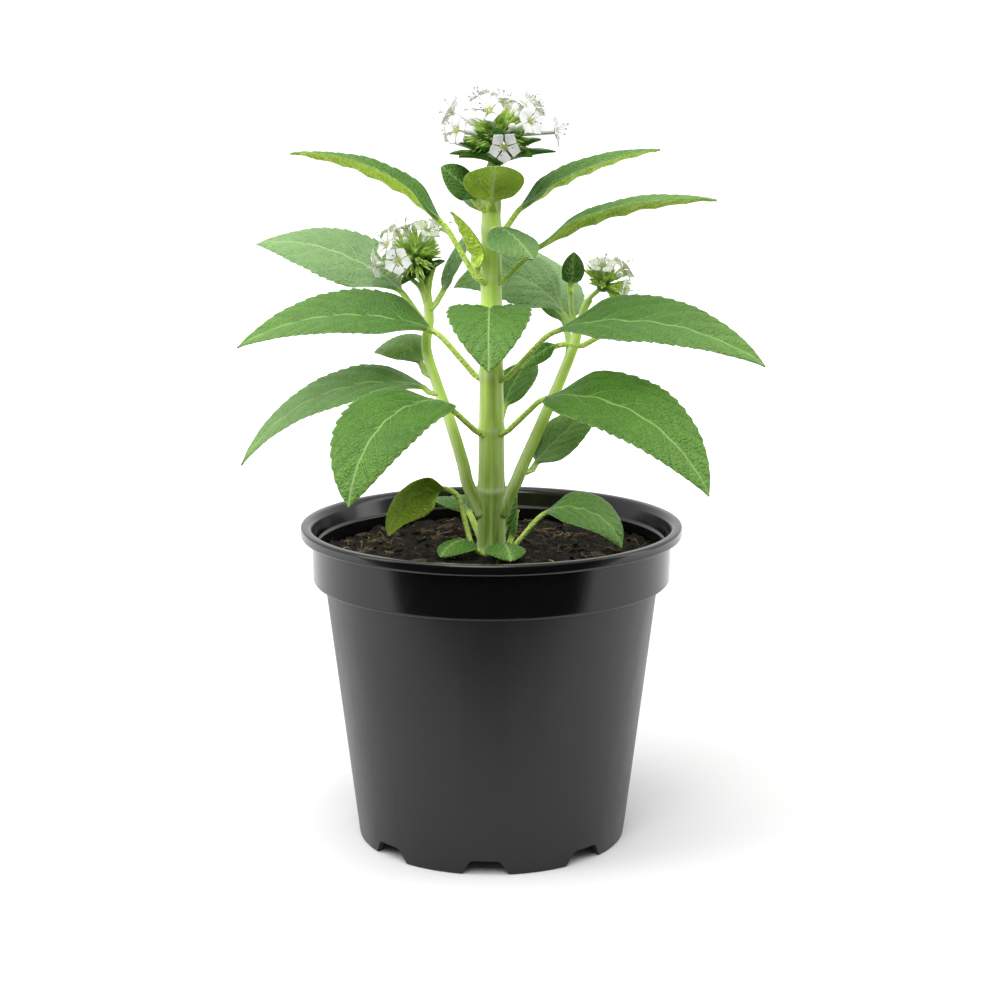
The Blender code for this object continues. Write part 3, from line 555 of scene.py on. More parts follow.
def soil_material():
    """Dark moist peat: lumps, crumbs and reddish-brown flecks."""
    mat = Shading("soil_peat")
    space = mat.place()
    crumbs = mat.cloud(space, 420.0, 6.0, 0.7)
    lumps = mat.cloud(space, 110.0, 4.0, 0.6)
    fleck = mat.cells(space, 520.0, "F1")
    earth = mat.blend(mat.ramp(crumbs, 0.35, 0.75), (0.003, 0.0025, 0.002), (0.022, 0.015, 0.008))
    earth = mat.tint(earth, mat.ramp(lumps, 0.50, 0.80), 0.50, (0.034, 0.024, 0.012))
    earth = mat.blend(mat.ramp(fleck, 0.05, 0.16, 0.35, 0.0), earth, (0.13, 0.085, 0.045))
    mat.colour(earth)
    mat.rough(mat.ramp(crumbs, 0.3, 0.8, 0.72, 0.95))
    mat.bump(mat.math("ADD", crumbs, mat.math("MULTIPLY", fleck, 0.5)), 0.0012, 0.9)
    mat.gloss(0.30)
    return mat.material


def litter_material(name, dark, light, roughness):
    """Bark or straw whose tone changes from piece to piece through the tone attribute."""
    mat = Shading(name)
    tone = mat.reading("tone")
    grain = mat.cloud(mat.place((1.0, 1.0, 2.0)), 700.0, 4.0, 0.65)
    body = mat.blend(tone, dark, light)
    body = mat.blend(mat.ramp(grain, 0.35, 0.70, 0.55, 0.0), body, dimmed(dark, 0.4))
    mat.colour(body)
    mat.rough(roughness)
    mat.bump(grain, 0.0003, 0.8)
    mat.gloss(0.3)
    return mat.material


def petal_material():
    """Soft white petals with a faint green throat and fine lines along each petal."""
    look = settings()
    mat = Shading("petal_white")
    out = mat.reading("out")
    grain = mat.cloud(mat.place(), 1400.0, 3.0)
    body = mat.blend(mat.ramp(out, 0.02, 0.34), (0.40, 0.46, 0.10), tuple(look.petal))
    body = mat.blend(mat.ramp(grain, 0.55, 0.8, 0.0, 0.25), body, (0.74, 0.76, 0.72))
    mat.colour(body)
    mat.rough(0.52)
    mat.bump(grain, 0.00008, 0.5)
    mat.gloss(0.35)
    mat.scatter(0.20, (0.0012, 0.0012, 0.0010))
    return mat.material


def bud_material():
    """Bud cups: yellow-green, paler towards the pointed tips."""
    look = settings()
    mat = Shading("bud_green")
    out = mat.reading("out")
    grain = mat.cloud(mat.place(), 900.0, 3.0)
    body = mat.blend(mat.ramp(out, 0.0, 0.55), (0.09, 0.23, 0.016), tuple(look.bud))
    body = mat.blend(mat.ramp(out, 0.55, 1.0), body, (0.74, 0.86, 0.34))
    body = mat.blend(mat.ramp(grain, 0.45, 0.7, 0.0, 0.35), body, (0.13, 0.27, 0.03))
    mat.colour(body)
    mat.rough(0.50)
    mat.bump(grain, 0.00015, 0.7)
    mat.fuzz(0.25, 0.5, (0.95, 1.0, 0.85))
    return mat.material


def thread_material():
    """Stamens: white threads with dusky tips."""
    mat = Shading("stamen_thread")
    out = mat.reading("out")
    mat.colour(mat.blend(mat.ramp(out, 0.80, 0.93), (0.70, 0.72, 0.66), (0.10, 0.055, 0.10)))
    mat.rough(0.6)
    return mat.material


def plain_material(name, colour, roughness, spread):
    """One finish with darker mottling; spread is how bright its dark spots are."""
    mat = Shading(name)
    grain = mat.cloud(mat.place(), 800.0, 3.0)
    mat.colour(mat.blend(mat.ramp(grain, 0.35, 0.7), dimmed(colour, spread), colour))
    mat.rough(roughness)
    mat.bump(grain, 0.0001, 0.6)
    return mat.material


def about(axis, angle):
    """Rotation by an angle in radians about the axis X, Y or Z."""
    return Matrix.Rotation(angle, 3, axis)


def turn_points(bm, verts, matrix):
    """Turns points about the origin."""
    bmesh.ops.rotate(bm, verts=verts, cent=(0, 0, 0), matrix=matrix)


def new_object(name, bm):
    """Turns a bmesh in millimetres into an object of the scene, in metres."""
    bmesh.ops.scale(bm, vec=(MM, MM, MM), verts=bm.verts)
    mesh = bpy.data.meshes.new(name)
    bm.to_mesh(mesh)
    bm.free()
    item = bpy.data.objects.new(name, mesh)
    bpy.context.scene.collection.objects.link(item)
    return item


def finished(name, bm, material, replaced=(), smooth_angle=180.0):
    """Turns a bmesh in millimetres into a piece that rides on the plant's body."""
    piece = new_object(name, bm)
    piece.data.shade_smooth()
    if smooth_angle < 180.0:
        piece.data.set_sharp_from_angle(angle=math.radians(smooth_angle))
    piece.data.materials.append(material)
    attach(piece, BODY)
    if replaced:
        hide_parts(*replaced)
    return piece


def turned(profile, segments):
    """Spins an open profile of (radius, height) that starts and ends on the axis."""
    bm = bmesh.new()
    points = [bm.verts.new((radius, 0.0, height)) for radius, height in profile]
    edges = [bm.edges.new(pair) for pair in zip(points, points[1:])]
    bmesh.ops.spin(bm, geom=points + edges, cent=(0, 0, 0), axis=(0, 0, 1),
                   angle=2 * math.pi, steps=segments, use_merge=True)
    bmesh.ops.remove_doubles(bm, verts=bm.verts, dist=0.0005)
    bmesh.ops.recalc_face_normals(bm, faces=bm.faces)
    return bm


def rounded(corners, steps=4):
    """Replaces each corner (radius, height, rounding) of a profile by a small arc."""
    points = []
    for index, (radius, height, rounding) in enumerate(corners):
        here = Vector((radius, height))
        if rounding == 0 or index in (0, len(corners) - 1):
            points.append((radius, height))
            continue
        before = Vector(corners[index - 1][:2]) - here
        after = Vector(corners[index + 1][:2]) - here
        trim = min(rounding, before.length * 0.48, after.length * 0.48)
        start = here + before.normalized() * trim
        end = here + after.normalized() * trim
        for step in range(steps + 1):
            t = step / steps
            point = start * (1 - t) ** 2 + here * 2 * t * (1 - t) + end * t * t
            points.append((point.x, point.y))
    return points


def body_radius(height):
    """Outer radius of the pot's tapered wall."""
    return FOOT_RADIUS + (BODY_TOP_RADIUS - FOOT_RADIUS) * height / COLLAR_BOTTOM


def pot_profile():
    """Half section of the pot: floor, foot, wall, collar, rim and back down the inside."""
    floor_top = FLOOR_UNDERSIDE + FLOOR_THICKNESS
    lip_bottom = RIM_TOP - LIP_HEIGHT
    corners = (
        (0.0, FLOOR_UNDERSIDE, 0),
        (FOOT_RADIUS - FOOT_WALL, FLOOR_UNDERSIDE, 0.5),
        (FOOT_RADIUS - FOOT_WALL, 0.0, 0.3),
        (body_radius(0.0), 0.0, 0.7),
        (body_radius(COLLAR_BOTTOM) + 0.05, COLLAR_BOTTOM + 0.3, 0.6),
        (COLLAR_RADIUS - 0.15, COLLAR_BOTTOM, 1.0),
        (COLLAR_RADIUS + 0.2, lip_bottom, 0.4),
        (RIM_RADIUS, lip_bottom, 1.0),
        (RIM_RADIUS, RIM_TOP, 0.9),
        (RIM_RADIUS - 2.6, RIM_TOP, 0.8),
        (RIM_RADIUS - 3.8, RIM_TOP - 1.2, 0.8),
        (COLLAR_RADIUS - WALL + 0.5, RIM_TOP - 6.0, 0.3),
        (COLLAR_RADIUS - WALL - 0.3, RIM_TOP - 6.5, 0.3),
        (COLLAR_RADIUS - WALL - 0.3, COLLAR_BOTTOM + 2.0, 0.3),
        (body_radius(COLLAR_BOTTOM) - WALL, COLLAR_BOTTOM + 1.2, 0.5),
        (body_radius(floor_top) - WALL, floor_top, 1.5),
        (0.0, floor_top, 0),
    )
    return rounded(corners)


def guide(name, bm):
    """A shape that is taken out of the pot."""
    bmesh.ops.recalc_face_normals(bm, faces=bm.faces)
    return new_object(name, bm)


def notch_guide():
    """Tapered blocks that cut the foot edge into feet."""
    bm = bmesh.new()
    middle = FOOT_RADIUS - FOOT_WALL / 2
    for index in range(NOTCH_COUNT):
        made = bmesh.ops.create_cube(bm, size=1.0)["verts"]
        for vert in made:
            top = vert.co.z > 0
            width = NOTCH_TOP_WIDTH if top else NOTCH_BOTTOM_WIDTH + 2.0
            height = NOTCH_HEIGHT if top else -1.5
            vert.co = Vector((vert.co.x * width, middle + vert.co.y * (FOOT_WALL + 6.0), height))
        edges = [edge for edge in {edge for vert in made for edge in vert.link_edges}
                 if all(vert.co.z > 0 for vert in edge.verts)
                 and abs(edge.verts[0].co.x - edge.verts[1].co.x) < 0.01]
        grown = bmesh.ops.bevel(bm, geom=edges, offset=1.0, offset_type="OFFSET", segments=4,
                                profile=0.5, affect="EDGES", material=-1)["verts"]
        block = [vert for vert in set(made) | set(grown) if vert.is_valid]
        turn = math.radians(NOTCH_TURN + 360 / NOTCH_COUNT * index)
        turn_points(bm, block, about("Z", math.pi + turn))
    return guide("guide_notches", bm)


def drain_guide():
    """Round bars that cut the drain holes."""
    bm = bmesh.new()
    for index in range(DRAIN_COUNT):
        turn = 2 * math.pi * index / DRAIN_COUNT
        place = Matrix.Translation((DRAIN_RING_RADIUS * math.cos(turn), DRAIN_RING_RADIUS * math.sin(turn),
                                    FLOOR_UNDERSIDE))
        bmesh.ops.create_cone(bm, cap_ends=True, segments=32, radius1=DRAIN_RADIUS,
                              radius2=DRAIN_RADIUS, depth=8.0, matrix=place)
    return guide("guide_drains", bm)


def soil_height(x, y):
    """Crumbly surface: two sizes of lump on a gentle mound round the stem."""
    radius = math.hypot(x, y)
    lumps = noise.noise(Vector((x * 0.11, y * 0.11, 3.1)))
    crumbs = noise.noise(Vector((x * 0.31, y * 0.31, 8.7)))
    mound = 0.8 * math.cos(min(radius / 50.0, 1.0) * math.pi / 2)
    return SOIL_TOP + mound + SOIL_BUMP * lumps + 0.55 * SOIL_BUMP * crumbs


def fine_soil_height(x, y):
    """The lumps with clods and grains on top."""
    clods = noise.fractal(Vector((x * 0.55, y * 0.55, 1.7)), 0.75, 2.1, 4)
    grains = noise.noise(Vector((x * 2.3, y * 2.3, 5.0)))
    return soil_height(x, y) + 0.85 * clods + 0.30 * grains


def smooth_route(points, steps):
    """Catmull-Rom curve through given points, read at even shares of its length."""
    knots = [Vector(point) for point in points]
    knots = [2 * knots[0] - knots[1], *knots, 2 * knots[-1] - knots[-2]]
    dense = []
    for a, b, c, d in zip(knots, knots[1:], knots[2:], knots[3:]):
        for part in range(12):
            t = part / 12
            dense.append(0.5 * (2 * b + (c - a) * t + (2 * a - 5 * b + 4 * c - d) * t * t
                                + (3 * b - a - 3 * c + d) * t ** 3))
    dense.append(knots[-2])
    lengths = [0.0]
    for a, b in zip(dense, dense[1:]):
        lengths.append(lengths[-1] + (b - a).length)
    route = []
    for step in range(steps + 1):
        target = lengths[-1] * step / steps
        index = max(i for i, value in enumerate(lengths) if value <= target + 1e-9)
        index = min(index, len(dense) - 2)
        span = lengths[index + 1] - lengths[index]
        route.append(dense[index].lerp(dense[index + 1], (target - lengths[index]) / span))
    return route


def stem_radius(height):
    """Plain tapered radius of the main stem."""
    share = (height - NODES[1]) / (STEM_TOP - NODES[1])
    return STEM_BASE_RADIUS + (STEM_TOP_RADIUS - STEM_BASE_RADIUS) * max(share, -0.1)


def node_distance(height):
    """Distance from a height to the nearest leaf node."""
    return min(abs(height - node) for node in NODES.values())


def swollen_radius(height):
    """Stem radius with the ring-like swelling at each leaf node."""
    return stem_radius(height) * (1 + NODE_SWELL * max(0.0, 1 - node_distance(height) / NODE_SPREAD))


def grow_ring(bm, ring):
    """Extrudes a closed ring of points and gives the new ring in the same order."""
    edges = [bm.edges.get((a, b)) for a, b in zip(ring, ring[1:] + ring[:1])]
    grown = bmesh.ops.extrude_edge_only(bm, edges=edges)["geom"]
    fresh = {item for item in grown if isinstance(item, bmesh.types.BMVert)}
    return [next(edge.other_vert(old) for edge in old.link_edges if edge.other_vert(old) in fresh)
            for old in ring]


def ribbed_tube(bm, centres, radii, sides, rib, rings=None):
    """Grows a ribbed ring along centres with extruded edges, and closes both ends.

    The attribute for pale ridges and painted rim light is 1 on the two flanks, which carry a painted rim
    highlight, between 0 and 1 on fine pale lines and 0 in the grooves.
    """
    axis = (centres[1] - centres[0]).normalized()
    side = axis.orthogonal().normalized() if abs(axis.z) < 0.999 else Vector((1, 0, 0))
    ridge_and_rim_light = bm.verts.layers.float.get("ridge_and_rim_light") or bm.verts.layers.float.new("ridge_and_rim_light")
    mark = bm.verts.layers.float.get("ring") or bm.verts.layers.float.new("ring")
    ring = []
    for index, (centre, radius) in enumerate(zip(centres, radii)):
        before = centres[max(index - 1, 0)]
        after = centres[min(index + 1, len(centres) - 1)]
        axis = (after - before).normalized()
        side = (side - axis * side.dot(axis)).normalized()
        other = axis.cross(side)
        if index == 0:
            ring = bmesh.ops.create_circle(bm, segments=sides, radius=1.0)["verts"]
            first = list(ring)
        else:
            ring = grow_ring(bm, ring)
        for number, vert in enumerate(ring):
            angle = 2 * math.pi * number / sides
            square = math.cos(4 * angle)
            turn = math.degrees(angle)
            groove = math.exp(-((turn % 90 - 45) / GROOVE_WIDTH) ** 2)
            # Painted rim highlight: two opposite flanks are drawn pale, as if lit from behind
            rim_light = math.exp(-(min(turn % 180, 180 - turn % 180) / RIM_LIGHT_WIDTH) ** 4)
            line = LINE_PALENESS * max(0.0, math.cos(8 * angle)) ** 2
            reach = radius * (1 + rib * square - GROOVE_DEPTH * groove)
            vert.co = centre + reach * (side * math.cos(angle) + other * math.sin(angle))
            vert[ridge_and_rim_light] = rim_light + (1 - rim_light) * line
            vert[mark] = rings[index] if rings else 0.0
    for ends in (first, ring):
        bmesh.ops.contextual_create(bm, geom=ends)


def stem_heights():
    """Heights of the main stem's rings, from inside the soil to the top."""
    heights = []
    height = SOIL_TOP - STEM_SUNK
    while height < STEM_TOP:
        heights.append(height)
        height += STEM_STEP
    heights.append(STEM_TOP)
    return heights


def node_ring(height):
    """How strongly the pale ring of a leaf node shows at a height."""
    return math.exp(-(node_distance(height) / NODE_RING) ** 2)


def branch_steps(name):
    """Steps of a branch's route in the solid model, which the leaf roots are counted on."""
    return 4 if name.startswith("twig") else 15


def branch_point(name, share):
    """Centre, direction and radius of a branch at a share of its length."""
    spec = BRANCHES[name]
    route = smooth_route(spec["route"], branch_steps(name))
    place = share * (len(route) - 1)
    index = min(int(place), len(route) - 2)
    centre = route[index].lerp(route[index + 1], place - index)
    axis = (route[index + 1] - route[index]).normalized()
    low, high = spec["radius"]
    return centre, axis, low + (high - low) * share


def heading(azimuth, slope):
    """Unit direction from an azimuth and a slope in degrees."""
    azimuth = math.radians(azimuth)
    slope = math.radians(slope)
    return Vector((math.cos(slope) * math.cos(azimuth), math.cos(slope) * math.sin(azimuth), math.sin(slope)))


def leaf_root(leaf):
    """The stalk's root as in the solid model."""
    on = leaf["on"]
    flat = heading(leaf["azimuth"], 0.0)
    lean = 0.35 + STALK_THICKNESS / 2 * abs(math.sin(math.radians(leaf["rise"]))) + 0.1
    if isinstance(on, int):
        height = NODES[on]
        return Vector((0, 0, height)) + flat * (swollen_radius(height) * 1.07 + lean)
    centre, axis, radius = branch_point(*on)
    if on[1] == 1.0:
        return centre + axis * 0.85
    out = (flat - axis * flat.dot(axis)).normalized()
    return centre + out * (radius * 1.05 + lean)


def leaf_bearer(leaf):
    """Centre and direction of the stem or branch that bears a leaf."""
    on = leaf["on"]
    if isinstance(on, int):
        return Vector((0, 0, NODES[on])), Vector((0, 0, 1))
    return branch_point(*on)[:2]


def leaf_slope(leaf, distance, total):
    """Azimuth and slope at a distance: a straight stalk that bends into the blade's own slope."""
    azimuth = leaf["azimuth"] + leaf["turn"] * distance / total
    if distance < leaf["stalk"]:
        straight = (leaf["rise"] + leaf["level"]) / 2 + STALK_LIFT
        share = max(0.0, distance / leaf["stalk"] - STALK_BEND) / (1 - STALK_BEND)
        return azimuth, straight + (leaf["level"] - straight) * share
    share = (distance - leaf["stalk"]) / leaf["blade"]
    return azimuth, leaf["level"] + (leaf["dip"] - leaf["level"]) * share


def leaf_midrib(leaf, marks):
    """Centre line and heading at each distance in marks; below zero it runs into what bears the leaf."""
    total = leaf["stalk"] + leaf["blade"]
    step = 0.25
    place = leaf_root(leaf)
    walked = 0.0
    line = []
    for mark in marks:
        if mark < 0:
            core, axis = leaf_bearer(leaf)
            lean = math.radians(min(leaf_slope(leaf, 0.0, total)[1], ROOT_SLOPE))
            drop = min((place - core).length * math.tan(lean), ROOT_DROP)
            target = core - axis * max(drop, 0.0) * ROOT_EASE
            inside = -mark / STALK_SINK * ROOT_REACH
            line.append((place.lerp(target, inside), (place - target).normalized()))
            continue
        while walked < mark - 1e-9:
            stride = min(step, mark - walked)
            place = place + heading(*leaf_slope(leaf, walked + stride / 2, total)) * stride
            walked += stride
        line.append((place, heading(*leaf_slope(leaf, mark, total))))
    return line


def blade_outline(leaf, share):
    """Half width at a share of the blade from base (0) to tip (1); round leaves get a blunter tip."""
    taper = max(0.6, OUTLINE_TIP - 0.9 * max(0.0, leaf["half"] / leaf["blade"] - SLENDER))
    swell = leaf["base"]
    widest = swell / (swell + taper)
    peak = widest ** swell * (1 - widest) ** taper
    return leaf["half"] * share ** swell * (1 - share) ** taper / peak


def tooth_count(leaf):
    """Number of teeth on each side of a leaf."""
    pitch = settings().tooth_pitch / MM
    return max(4, round(leaf["blade"] * (TEETH_END - TEETH_START) / pitch))


def tooth(leaf, share, side):
    """Forward-leaning rounded tooth: 0 in a notch and 1 on a point, on the outer blade."""
    if share < TEETH_START or share > TEETH_END:
        return 0.0
    shift = TOOTH_SHIFT if side < 0 else 0.0
    phase = (share - TEETH_START) / (TEETH_END - TEETH_START) * tooth_count(leaf) + shift
    part = phase % 1.0
    climb = (part / TOOTH_POINT) ** 0.75 if part < TOOTH_POINT else (1 - part) / (1 - TOOTH_POINT)
    size = max(0.0, min(1.0, (leaf["blade"] - SMOOTH_BLADE) / (TOOTHED_BLADE - SMOOTH_BLADE)))
    return size * climb * min(1.0, (share - TEETH_START) / 0.09)


def leaf_marks(leaf):
    """Distances along the leaf with a row of points, closer together where the teeth are."""
    stalk, blade = leaf["stalk"], leaf["blade"]
    rows = tooth_count(leaf) * ROWS_PER_TOOTH
    marks = [-STALK_SINK, -0.5 * STALK_SINK]
    marks += [stalk * row / STALK_ROWS for row in range(STALK_ROWS)]
    marks += [stalk + blade * TEETH_START * (row / 9) ** 1.4 for row in range(1, 9)]
    marks += [stalk + blade * (TEETH_START + (TEETH_END - TEETH_START) * row / rows) for row in range(rows)]
    marks += [stalk + blade * (TEETH_END + (1 - TEETH_END) * share) for share in (0.0, 0.3, 0.6, 0.85, 1.0)]
    return marks


def leaf_half(leaf, distance, side):
    """Half width on one side of the midrib at a distance from the leaf's root."""
    share = (distance - leaf["stalk"]) / leaf["blade"]
    if share <= 0:
        back = 1 - max(distance, 0.0) / leaf["stalk"]
        return STALK_HALF_WIDTH * (0.90 + 0.35 * back ** 4 - 0.12 * min(distance, 0.0))
    wide = blade_outline(leaf, min(share, 1.0)) * (0.985 + settings().tooth_depth * tooth(leaf, share, side))
    return max(wide, STALK_HALF_WIDTH * 0.9 * (1 - share), 0.16)


def vein_pitch(leaf):
    """Distance between side veins along the midrib."""
    return max(2.2, leaf["blade"] / VEIN_PAIRS)


def quilt(leaf, along, across):
    """Height between the side veins: 0 on a vein and 1 midway, fading to the edge."""
    reach = abs(across)
    lead = reach * (VEIN_LEAN + VEIN_BEND * reach)
    shift = VEIN_SHIFT if across > 0 else (-VEIN_SHIFT if across < 0 else 0.0)
    phase = (along - lead) / vein_pitch(leaf) + shift
    off = abs((phase + 0.5) % 1.0 - 0.5) * 2
    return off ** 0.7


def make_leaf(name, leaf, material):
    """One fine leaf on its stalk: a thin sheet bent along its midrib and quilted by its veins."""
    seed = sum(ord(letter) for letter in name)
    marks = leaf_marks(leaf)
    line = leaf_midrib(leaf, marks)
    rows = len(marks)
    lanes = (LANES if leaf["half"] > WIDE_LEAF else LANES // 2) + 1
    bm = bmesh.new()
    layers = {key: bm.verts.layers.float.new(key)
              for key in ("along", "share", "across", "edge", "under", "pale", "vein_pitch")}
    bmesh.ops.create_grid(bm, x_segments=rows - 1, y_segments=lanes - 1, size=1.0)
    upper = list(bm.verts)
    grown = bmesh.ops.extrude_face_region(bm, geom=list(bm.faces), use_keep_orig=True)["geom"]
    lower = [item for item in grown if isinstance(item, bmesh.types.BMVert)]
    for below, group in ((0.0, upper), (1.0, lower)):
        for vert in group:
            row = round((vert.co.x + 1) / 2 * (rows - 1))
            across = 0.35 * math.sin(vert.co.y * math.pi / 2) + 0.65 * vert.co.y
            half = leaf_half(leaf, marks[row], vert.co.y)
            along = marks[row] - leaf["stalk"]
            vert.co = leaf_point(leaf, along, line[row], half * across, across, below, seed)
            vert[layers["along"]] = along
            vert[layers["share"]] = along / leaf["blade"]
            vert[layers["across"]] = half * across
            vert[layers["edge"]] = abs(across) if along > 0 else 0.0
            vert[layers["under"]] = below
            vert[layers["pale"]] = leaf["pale"]
            vert[layers["vein_pitch"]] = vein_pitch(leaf)
    bmesh.ops.recalc_face_normals(bm, faces=bm.faces)
    return finished(name + "_fine", bm, material, (name,))


def leaf_point(leaf, along, rib, reach, across, below, seed):
    """A point of the upper or lower side, reach millimetres from the midrib."""
    centre, ahead = rib
    share = along / leaf["blade"]
    grown = max(0.0, min(1.0, share / BLADE_GROWTH))
    soft = grown * grown * (3 - 2 * grown)
    azimuth = leaf_slope(leaf, along + leaf["stalk"], leaf["stalk"] + leaf["blade"])[0]
    side = heading(azimuth - 90, 0.0)
    normal = side.cross(ahead).normalized()
    near = max(0.0, 1 - share / LOBE_SPAN)
    centre = centre - ahead * (leaf["lobe"] * (abs(reach) / leaf["half"]) ** 1.3 * near ** 2 * grown ** 0.5)
    roll = math.radians(leaf["roll"]) * grown
    side, normal = (side * math.cos(roll) + normal * math.sin(roll),
                    normal * math.cos(roll) - side * math.sin(roll))
    fold = math.radians(leaf["fold"]) * grown
    lift = abs(reach) * (math.sin(fold) - BLADE_CURL * abs(across) * grown)
    calm = soft * (1 - 0.7 * max(0.0, share))
    lift += noise.noise(Vector((along * 0.11, reach * 0.09, seed * 1.7))) * WAVE_HEIGHT * calm
    lift += noise.noise(Vector((along * 0.6, reach * 0.6, seed * 0.9))) * RIPPLE_HEIGHT * calm
    lift += settings().vein_relief / MM * QUILT_GAIN * quilt(leaf, along, reach) * (1 - across ** 4) * calm
    lift -= MIDRIB_SINK * math.exp(-(reach / 0.7) ** 2) * calm
    stalk_depth = STALK_THICKNESS * math.sqrt(max(0.0, 1 - 0.96 * across * across))
    depth = stalk_depth + (BLADE_THICKNESS * (1 - 0.5 * across ** 6) - stalk_depth) * grown
    keel = KEEL_DEPTH * math.exp(-(reach / 0.75) ** 2) * grown * (1 - 0.75 * max(0.0, share))
    gutter = GUTTER_DEPTH * STALK_THICKNESS * math.exp(-(across / 0.45) ** 2) * (1 - grown)
    offset = -depth / 2 - keel if below else depth / 2 - gutter
    return centre + side * (reach * math.cos(fold)) + normal * (lift + offset)


def frame_along(direction):
    """Rotation that takes +Z onto a direction."""
    return Vector((0, 0, 1)).rotation_difference(Vector(direction).normalized()).to_matrix()


def head_directions(count, reach, rng, scatter=0.12):
    """Directions spread evenly over a cap by the golden angle, with a little scatter."""
    directions = []
    limit = math.cos(math.radians(reach))
    for index in range(count):
        height = 1 - (1 - limit) * (index + 0.5) / count
        angle = index * math.pi * (3 - math.sqrt(5)) + rng.uniform(-scatter, scatter)
        radius = math.sqrt(max(0.0, 1 - height * height))
        directions.append(Vector((radius * math.cos(angle), radius * math.sin(angle), height)))
    return directions


def head_frame(spec):
    """Middle of a head's core and the turn that faces it the right way."""
    seat, facing, core = spec[:3]
    middle = Vector(seat) + Vector(facing).normalized() * (core + 1.2)
    return middle, frame_along(facing)


def set_on_head(bm, verts, middle, turn_head, direction):
    """Turns the points of a floret, bud or cup to its direction and sets them on the head."""
    turn_points(bm, verts, turn_head @ frame_along(direction))
    bmesh.ops.translate(bm, verts=verts, vec=middle)


def sheet_piece(bm, rows, lanes, shape, layer):
    """A thin closed sheet: shape(u, v, below) gives a point for u in 0..1 and v in -1..1."""
    made = bmesh.ops.create_grid(bm, x_segments=rows, y_segments=lanes, size=1.0)["verts"]
    faces = list({face for vert in made for face in vert.link_faces})
    grown = bmesh.ops.extrude_face_region(bm, geom=faces, use_keep_orig=True)["geom"]
    lower = [item for item in grown if isinstance(item, bmesh.types.BMVert)]
    for below, group in ((False, made), (True, lower)):
        for vert in group:
            u = (vert.co.x + 1) / 2
            v = vert.co.y
            vert.co = shape(u, v, below)
            vert[layer] = u
    return made + lower


def add_petal(bm, layer, turn, length, half, cup, droop):
    """One round white petal that starts in the throat and opens outwards."""
    def shape(u, v, below):
        width = half * (0.16 + 1.24 * min(u / 0.72, 1.0) ** 1.25) if u < 0.72 else \
            half * 1.40 * math.sqrt(max(0.0, 1 - ((u - 0.72) / 0.285) ** 2)) + 0.02
        out = 0.55 + (length - 0.55) * u - 0.18 * v * v * u * length
        rise = cup * u - droop * u * u - 0.14 * half * (1 - v * v) * u
        thick = -0.13 if below else 0.13
        return Vector((out, width * v, rise + thick))
    made = sheet_piece(bm, 7, 6, shape, layer)
    turn_points(bm, made, about("Z", turn))
    return made


def add_floret(bm, layer, middle, turn_head, direction, foot, length, turn, openness, rng):
    """An open floret: a tube that widens into five spreading petals."""
    throat = bmesh.ops.create_uvsphere(bm, u_segments=TUBE_SIDES, v_segments=6, radius=THROAT_RADIUS)["verts"]
    for vert in throat:
        vert[layer] = 0.0
        vert.co.z = vert.co.z * 0.4 + 0.05
    tube = bmesh.ops.create_cone(bm, cap_ends=True, segments=TUBE_SIDES, radius1=TUBE_FOOT_RADIUS,
                                 radius2=TUBE_MOUTH_RADIUS, depth=length)["verts"]
    for vert in tube:
        vert[layer] = 0.8
        vert.co.z += length / 2 - length
    verts = list(tube) + list(throat)
    for index in range(PETALS):
        angle = turn + 2 * math.pi * index / PETALS + rng.uniform(-0.06, 0.06)
        reach = FLORET_RADIUS * rng.uniform(0.94, 1.06)
        droop = openness * PETAL_DROOP + rng.uniform(0.0, 0.5)
        verts += add_petal(bm, layer, angle, reach, PETAL_HALF, openness * PETAL_CUP, droop)
    bmesh.ops.translate(bm, verts=verts, vec=(0, 0, foot + length))
    set_on_head(bm, verts, middle, turn_head, direction)


def add_thread(bm, route, radius, tip_radius, layer):
    """A slim thread along a route with a small knob on its end."""
    ring = []
    verts = []
    for index, centre in enumerate(route):
        axis = (route[min(index + 1, len(route) - 1)] - route[max(index - 1, 0)]).normalized()
        side = axis.orthogonal().normalized()
        other = axis.cross(side)
        if index == 0:
            ring = bmesh.ops.create_circle(bm, segments=5, radius=1.0)["verts"]
            first = list(ring)
        else:
            ring = grow_ring(bm, ring)
        thick = tip_radius if index >= len(route) - 2 else radius
        for number, vert in enumerate(ring):
            angle = 2 * math.pi * number / 5
            vert.co = centre + thick * (side * math.cos(angle) + other * math.sin(angle))
            vert[layer] = index / (len(route) - 1)
        verts += ring
    for ends in (first, ring):
        bmesh.ops.contextual_create(bm, geom=ends)
    return verts


def add_calyx(bm, layer, middle, turn_head, direction, core, rng):
    """A bud cup: a slim ribbed barrel with five pointed teeth round its mouth."""
    length = CALYX_LENGTH * rng.uniform(0.95, 1.25)
    foot = core * CUP_SEAT
    barrel = bmesh.ops.create_cone(bm, cap_ends=True, segments=TUBE_SIDES, radius1=0.5, radius2=1.0,
                                   depth=length * CUP_SHARE)["verts"]
    for vert in barrel:
        vert[layer] = 0.10 if vert.co.z < 0 else 0.55
        vert.co.z += foot + length * CUP_SHARE / 2
    verts = list(barrel)
    for index in range(PETALS):
        angle = 2 * math.pi * index / PETALS + rng.uniform(-0.2, 0.2)
        spike = bmesh.ops.create_cone(bm, cap_ends=True, segments=4, radius1=0.58, radius2=0.03,
                                      depth=length * CUP_SHARE)["verts"]
        for vert in spike:
            vert[layer] = 1.0 if vert.co.z > 0 else 0.40
        bmesh.ops.translate(bm, verts=spike, vec=(0, 0, length * CUP_SHARE / 2))
        turn_points(bm, spike, about("Y", rng.uniform(0.05, 0.26)))
        bmesh.ops.translate(bm, verts=spike, vec=(0.60, 0, foot + length * 0.44))
        turn_points(bm, spike, about("Z", angle))
        verts += spike
    set_on_head(bm, verts, middle, turn_head, direction)


